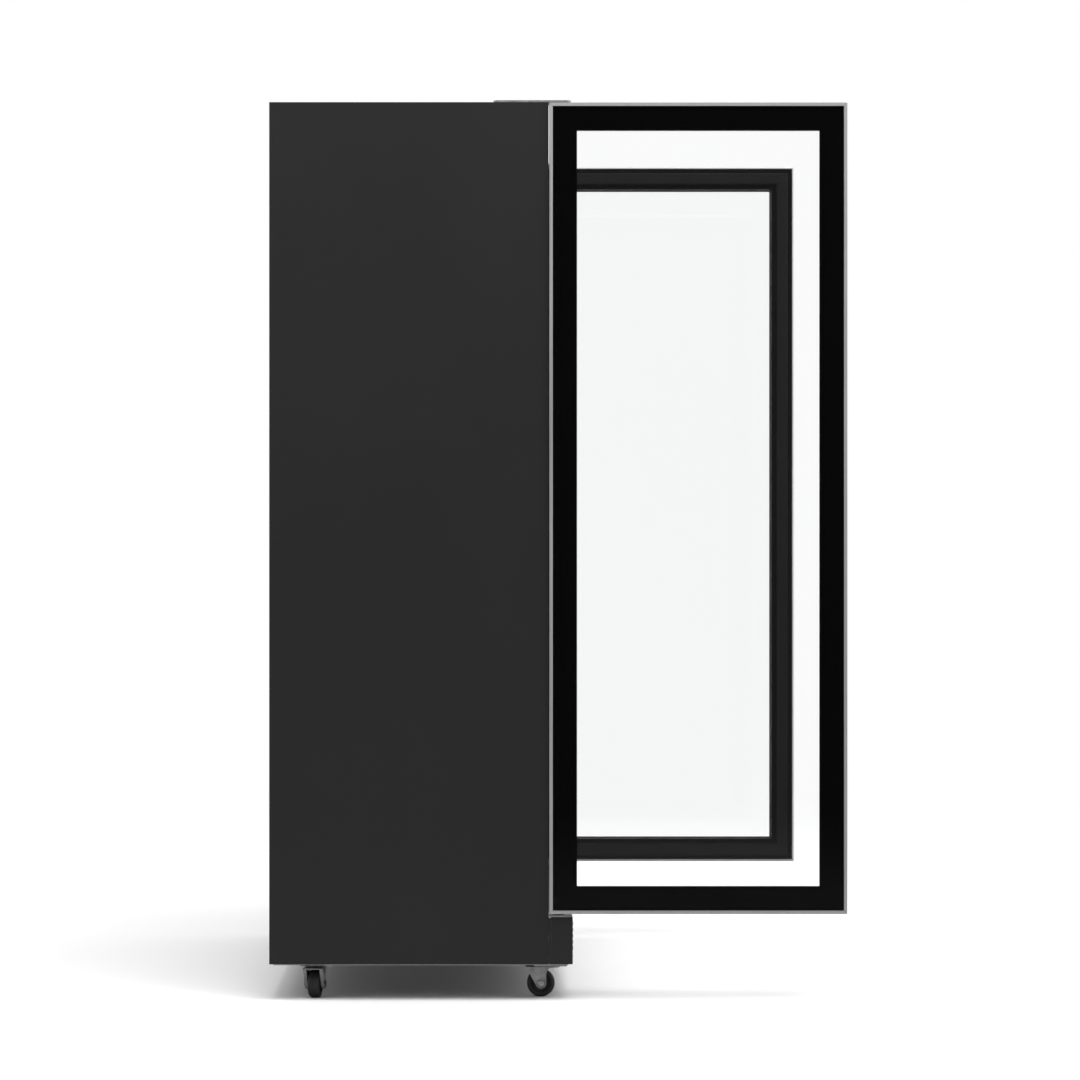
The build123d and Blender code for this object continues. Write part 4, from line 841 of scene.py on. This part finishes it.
evaporator_fan = {"radius": 0.064, "hub": 0.016, "hub_length": 0.014, "pitch": 0.0065}
condenser_fan = {"radius": 0.096, "hub": 0.022, "hub_length": 0.018, "pitch": 0.0095}
for name, sizes in (
    ("left_evaporator_fan", evaporator_fan),
    ("right_evaporator_fan", evaporator_fan),
    ("condenser_fan", condenser_fan),
):
    low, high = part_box(f"{name}_blade")
    spindle = Vector(joints[f"{name}_spin"]["pos_m"])
    axis = Vector(joints[f"{name}_spin"]["axis"])
    blades = Shape()
    fan(blades, spindle + axis * ((low + high) / 2 - spindle).dot(axis), axis, **sizes)
    blades.piece(
        f"{name}_swept_blades", name, "fan_aluminium", 30, replaces=[f"{name}_blade"]
    )

# ---------------------------------------------------------------- light bars
lights_low, lights_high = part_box("led_light_bars")
cap_length = 0.010
wall_bar_half, wall_bar_deep = 0.011, 0.016
mullion_bar_x, mullion_bar_half, mullion_bar_deep = 0.046, 0.008, 0.012
channel_wall = 0.0014
channel_share = 0.55  # of a bar's depth
lens_gap, lens_foot_gap = 0.0006, 0.0016  # inside the bar's width, at the dome and at its foot
lens_foot = 0.004  # how far the lens reaches down into the channel
cap_width = 1.02  # of the lens's
channels, lenses, caps = Shape(), Shape(), Shape()
bars = []
for side in (-1, 1):
    wall_bar = (side * lights_high.x, lights_low.y + wall_bar_half)
    mullion_bar = (side * mullion_bar_x, lights_high.y - mullion_bar_deep)
    bars.append((wall_bar, (0, 1, 0), (-side, 0, 0), wall_bar_half, wall_bar_deep))
    bars.append((mullion_bar, (1, 0, 0), (0, 1, 0), mullion_bar_half, mullion_bar_deep))
for (x, y), across, out, half, deep in bars:
    foot = (x, y, lights_low.z + cap_length)
    between_caps = (0, 0, lights_high.z - lights_low.z - 2 * cap_length)
    walls = channel_share * deep
    channel = [
        (-half, 0), (half, 0), (half, walls), (half - channel_wall, walls),
        (half - channel_wall, channel_wall), (channel_wall - half, channel_wall),
        (channel_wall - half, walls), (-half, walls),
    ]
    turns = [math.radians(turn) for turn in range(0, 181, 15)]
    dome = [
        (math.cos(turn) * (half - lens_gap), walls - lens_gap + math.sin(turn) * (deep - walls))
        for turn in turns
    ]
    lens_foot_x = half - lens_foot_gap
    lens = [(lens_foot_x, walls - lens_foot)] + dome + [(-lens_foot_x, walls - lens_foot)]
    channels.prism(channel, foot, across, out, between_caps)
    lenses.prism(lens, foot, across, out, between_caps)
    cap_outline = [(-half, 0), (half, 0)] + [(a * cap_width, b) for a, b in dome]
    for z in (lights_low.z, lights_high.z - cap_length):
        caps.prism(cap_outline, (x, y, z), across, out, (0, 0, cap_length))
channels.piece("light_bar_channels", "root", "silver_aluminium", replaces=["led_light_bars"])
lenses.piece("light_bar_lenses", "root", "light_lens", 40)
caps.piece("light_bar_caps", "root", "white_plastic", 40, edge=0.0004)

# ---------------------------------------------------------------- pressed louvres
hood_steps, hood_arc_steps = 12, 6  # along a louvre, and round it
hood_end = 0.04  # least share of the depth, at its ends
hood_rise, hood_shift = 0.62, 0.1  # shares of the height that it stands up, and is moved down
hood_sheet, hood_drop = 0.0007, 0.0006  # its inner skin lies inside and below the outer
hood_stand = 0.00005  # least distance from the sheet behind


def hood(shape, centre, out, length, height, depth):
    """A pressed louvre over a slot: open below, and closed to the sheet at its top and ends."""
    centre, out = Vector(centre), Vector(out)
    rings = []
    for step in range(hood_steps + 1):
        s = 2 * step / hood_steps - 1
        share = max(hood_end, (1 - abs(s) ** 5) ** 0.5)
        outer = [math.radians(90 * k / hood_arc_steps) for k in range(hood_arc_steps + 1)]
        ring = []
        for turns, inside, below in ((outer, 0.0, 0.0), (outer[::-1], hood_sheet, hood_drop)):
            for turn in turns:
                reach = (depth - inside) * share * math.sin(turn)
                rise = height * (hood_rise * math.cos(turn)) - hood_shift * height - below
                flat = centre + Vector((s * length / 2, 0, rise))
                ring.append(flat + out * max(reach, hood_stand))
        rings.append(ring)
    shape.strip(rings)


hoods = Shape()
plinth_columns, plinth_column_pitch = 6, 0.210
plinth_rows, plinth_row_pitch = 5, 0.014
plinth_middle_z = (plinth_low.z + plinth_high.z) / 2
for column in range(plinth_columns):
    x = plinth_column_pitch * (column - (plinth_columns - 1) / 2)
    for row in range(plinth_rows):
        z = plinth_middle_z + plinth_row_pitch * (row - (plinth_rows - 1) / 2)
        hood(hoods, (x, plinth_low.y, z), forward, length=0.184, height=0.0105, depth=0.0042)
hoods.piece("plinth_louvres", "root", "black_paint", 30)

edge_trim = Shape()
edge_section = [
    (0.0009, -0.004), (0.0036, -0.004), (0.0036, 0.0034), (0.0028, 0.0038), (0.0009, 0.0038),
    (0.0003, 0.0032),
]  # in from the cabinet's side, and back from the plinth's rear edge
gap_below, gap_above = 0.001, 0.002
edge_height = plinth_high.z - plinth_low.z - (gap_below + gap_above)
for side in (-1, 1):
    origin = (side * half_width, plinth_high.y, plinth_low.z + gap_below)
    edge_trim.prism(edge_section, origin, (-side, 0, 0), (0, 1, 0), (0, 0, edge_height))
edge_trim.piece("plinth_edge_trim", "root", "rubber", 30)

gland_low, gland_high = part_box("power_cord_gland")
gland_place = (gland_low + gland_high) / 2
gland_patch = 0.024  # half the width of plain sheet round the gland, which no louvre reaches
gland_rows = 0.034  # rows this near to the gland's height stop short of it
rear_columns, rear_column_pitch = 7, 0.150
rear_rows, rear_row_pitch = 11, 0.018
rear_half_length = 0.062
rear_hoods = Shape()
for column in range(rear_columns):
    x = rear_column_pitch * (column - (rear_columns - 1) / 2)
    for row in range(rear_rows):
        z = (grille_low.z + grille_high.z) / 2 + rear_row_pitch * (row - (rear_rows - 1) / 2)
        start, end = x - rear_half_length, x + rear_half_length
        if abs(z - gland_place.z) < gland_rows:
            start = max(start, gland_place.x + gland_patch)
        place = ((start + end) / 2, grille_high.y, z)
        hood(rear_hoods, place, backward, length=end - start, height=0.0125, depth=0.0034)
rear_hoods.piece("rear_grille_louvres", "root", "galvanised", 30)

gland_nut = Shape()
nut_profile = [
    (0, 0.0047), (0, 0.0108), (0.0030, 0.0108), (0.0036, 0.0102), (0.0052, 0.0094),
    (0.0068, 0.0070), (0.0070, 0.0047),
]
gland_nut.lathe(nut_profile, (gland_place.x, gland_high.y, gland_place.z), backward, 12)
gland_nut.piece("gland_cap", "root", "black_plastic", 20, edge=0.0003)

# ---------------------------------------------------------------- condensing unit
feet_low, feet_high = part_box("compressor_feet")
unit_x = (feet_low.x + feet_high.x) / 2
unit_y = (feet_low.y + feet_high.y) / 2
foot_radius = 0.013
foot_x = (feet_high.x - feet_low.x) / 2 - foot_radius
foot_y = (feet_high.y - feet_low.y) / 2 - foot_radius
base_plate = 0.004  # thickness of the compressor's plate on its feet
foot_profile = [
    (0, 0.004), (0, foot_radius), (0.005, foot_radius), (0.0062, 0.0095), (0.0088, 0.0095),
    (0.010, 0.0125), (0.0165, 0.0118), (0.018, 0.0105), (0.018, 0.004),
]
foot_nut = [(0, 0.004), (0, 0.0095), (0.0015, 0.0095), (0.0015, 0.0062), (0.0065, 0.0060)]
nut_recess = (hexagon_recess, 0.003, 0.001)
feet, nuts = Shape(), Shape()
for a in (-1, 1):
    for b in (-1, 1):
        x, y = unit_x + a * foot_x, unit_y + b * foot_y
        feet.lathe(foot_profile, (x, y, feet_low.z), upward, 40)
        nut_place = (x, y, feet_high.z + base_plate)
        nuts.head(nut_place, upward, foot_nut, nut_recess)
feet.piece("compressor_grommets", "root", "rubber", 30, replaces=["compressor_feet"])
nuts.piece("compressor_foot_nuts", "root", "zinc", 30)

shell_radius = 0.085
seam_height = 0.098  # over the feet
weld_profile = [
    (0, shell_radius - 0.002), (0, shell_radius + 0.0022), (0.0006, shell_radius + 0.0030),
    (0.0044, shell_radius + 0.0030), (0.0050, shell_radius + 0.0022),
    (0.0050, shell_radius - 0.002),
]
seam_ring = Shape()
seam_ring.lathe(weld_profile, (unit_x, unit_y, feet_high.z + seam_height), upward, 96)
seam_ring.piece("compressor_seam", "root", "compressor_black", 30)

sleeve_radius, sleeve_bend = 0.0095, 0.030
sleeve_start, sleeve_corner = 0.012, 0.085  # from the compressor's shell
sleeve_height, sleeve_end = 0.090, 0.005  # over the feet, and over the grille
sleeve_start_x = unit_x + shell_radius + sleeve_start
sleeve_corner_x = unit_x + shell_radius + sleeve_corner
sleeve_z = feet_high.z + sleeve_height
sleeve_end_z = grille_high.z + sleeve_end
bend_centre = (sleeve_corner_x - sleeve_bend, sleeve_z + sleeve_bend)
sleeve_route = [(sleeve_start_x, sleeve_z)] + arc(bend_centre, sleeve_bend, -90, 0, 10)
sleeve_route += [(sleeve_corner_x, sleeve_end_z)]
sleeve = Shape()
sleeve.tube([(x, unit_y, z) for x, z in sleeve_route], sleeve_radius, 24)
sleeve.piece("suction_line_insulation", "root", "rubber", 40)

# ---------------------------------------------------------------- thermostat dial marks
knob_low, knob_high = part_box("thermostat_knob")
box_low, box_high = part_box("control_box")
knob_middle = Vector(((knob_low.x + knob_high.x) / 2, box_low.y, (box_low.z + box_high.z) / 2))
dial_marks, dial_turn = 10, 270
mark_half_width, mark_thickness = 0.0004, 0.0003
mark_inner = 0.0192  # radius that the marks start at
long_mark, short_mark = 0.0035, 0.002
marks = Shape()
for step in range(dial_marks):
    turn = math.radians(90 - dial_turn * step / (dial_marks - 1))
    out = Vector((math.cos(turn), 0, math.sin(turn)))
    across = Vector((-out.z, 0, out.x))
    mark_outer = mark_inner + (long_mark if step in (0, dial_marks - 1) else short_mark)
    outline = [
        (-mark_half_width, mark_inner), (mark_half_width, mark_inner),
        (mark_half_width, mark_outer), (-mark_half_width, mark_outer),
    ]
    marks.prism(outline, knob_middle, across, out, (0, -mark_thickness, 0))
marks.piece("dial_marks", "root", "black_plastic")

# ---------------------------------------------------------------- softened edges
soft_edges = {
    "top_hinges": 0.0006,
    "bottom_hinges": 0.0006,
    "caster_plates": 0.0004,
    "kick_grille": 0.0006,
    "rear_service_grille": 0.0003,
    "evaporator_cover": 0.0006,
    "control_box": 0.0010,
    "thermostat_knob": 0.0008,
    "light_switch_rocker": 0.0005,
    "drain_pan": 0.0010,
    "condenser_fan_shroud": 0.0008,
    "centre_mullion": 0.0007,
    "left_door_frame": 0.0005,
    "right_door_frame": 0.0005,
    "left_inner_frame": 0.0005,
    "right_inner_frame": 0.0005,
    "fan_motors": 0.0015,
    "shelf_clips": 0.0003,
}
for name in casters:
    soft_edges[f"{name}_caster_fork"] = 0.0005
    soft_edges[f"{name}_caster_axle"] = 0.0005
for name, width in soft_edges.items():
    soften(nodes[name], width)
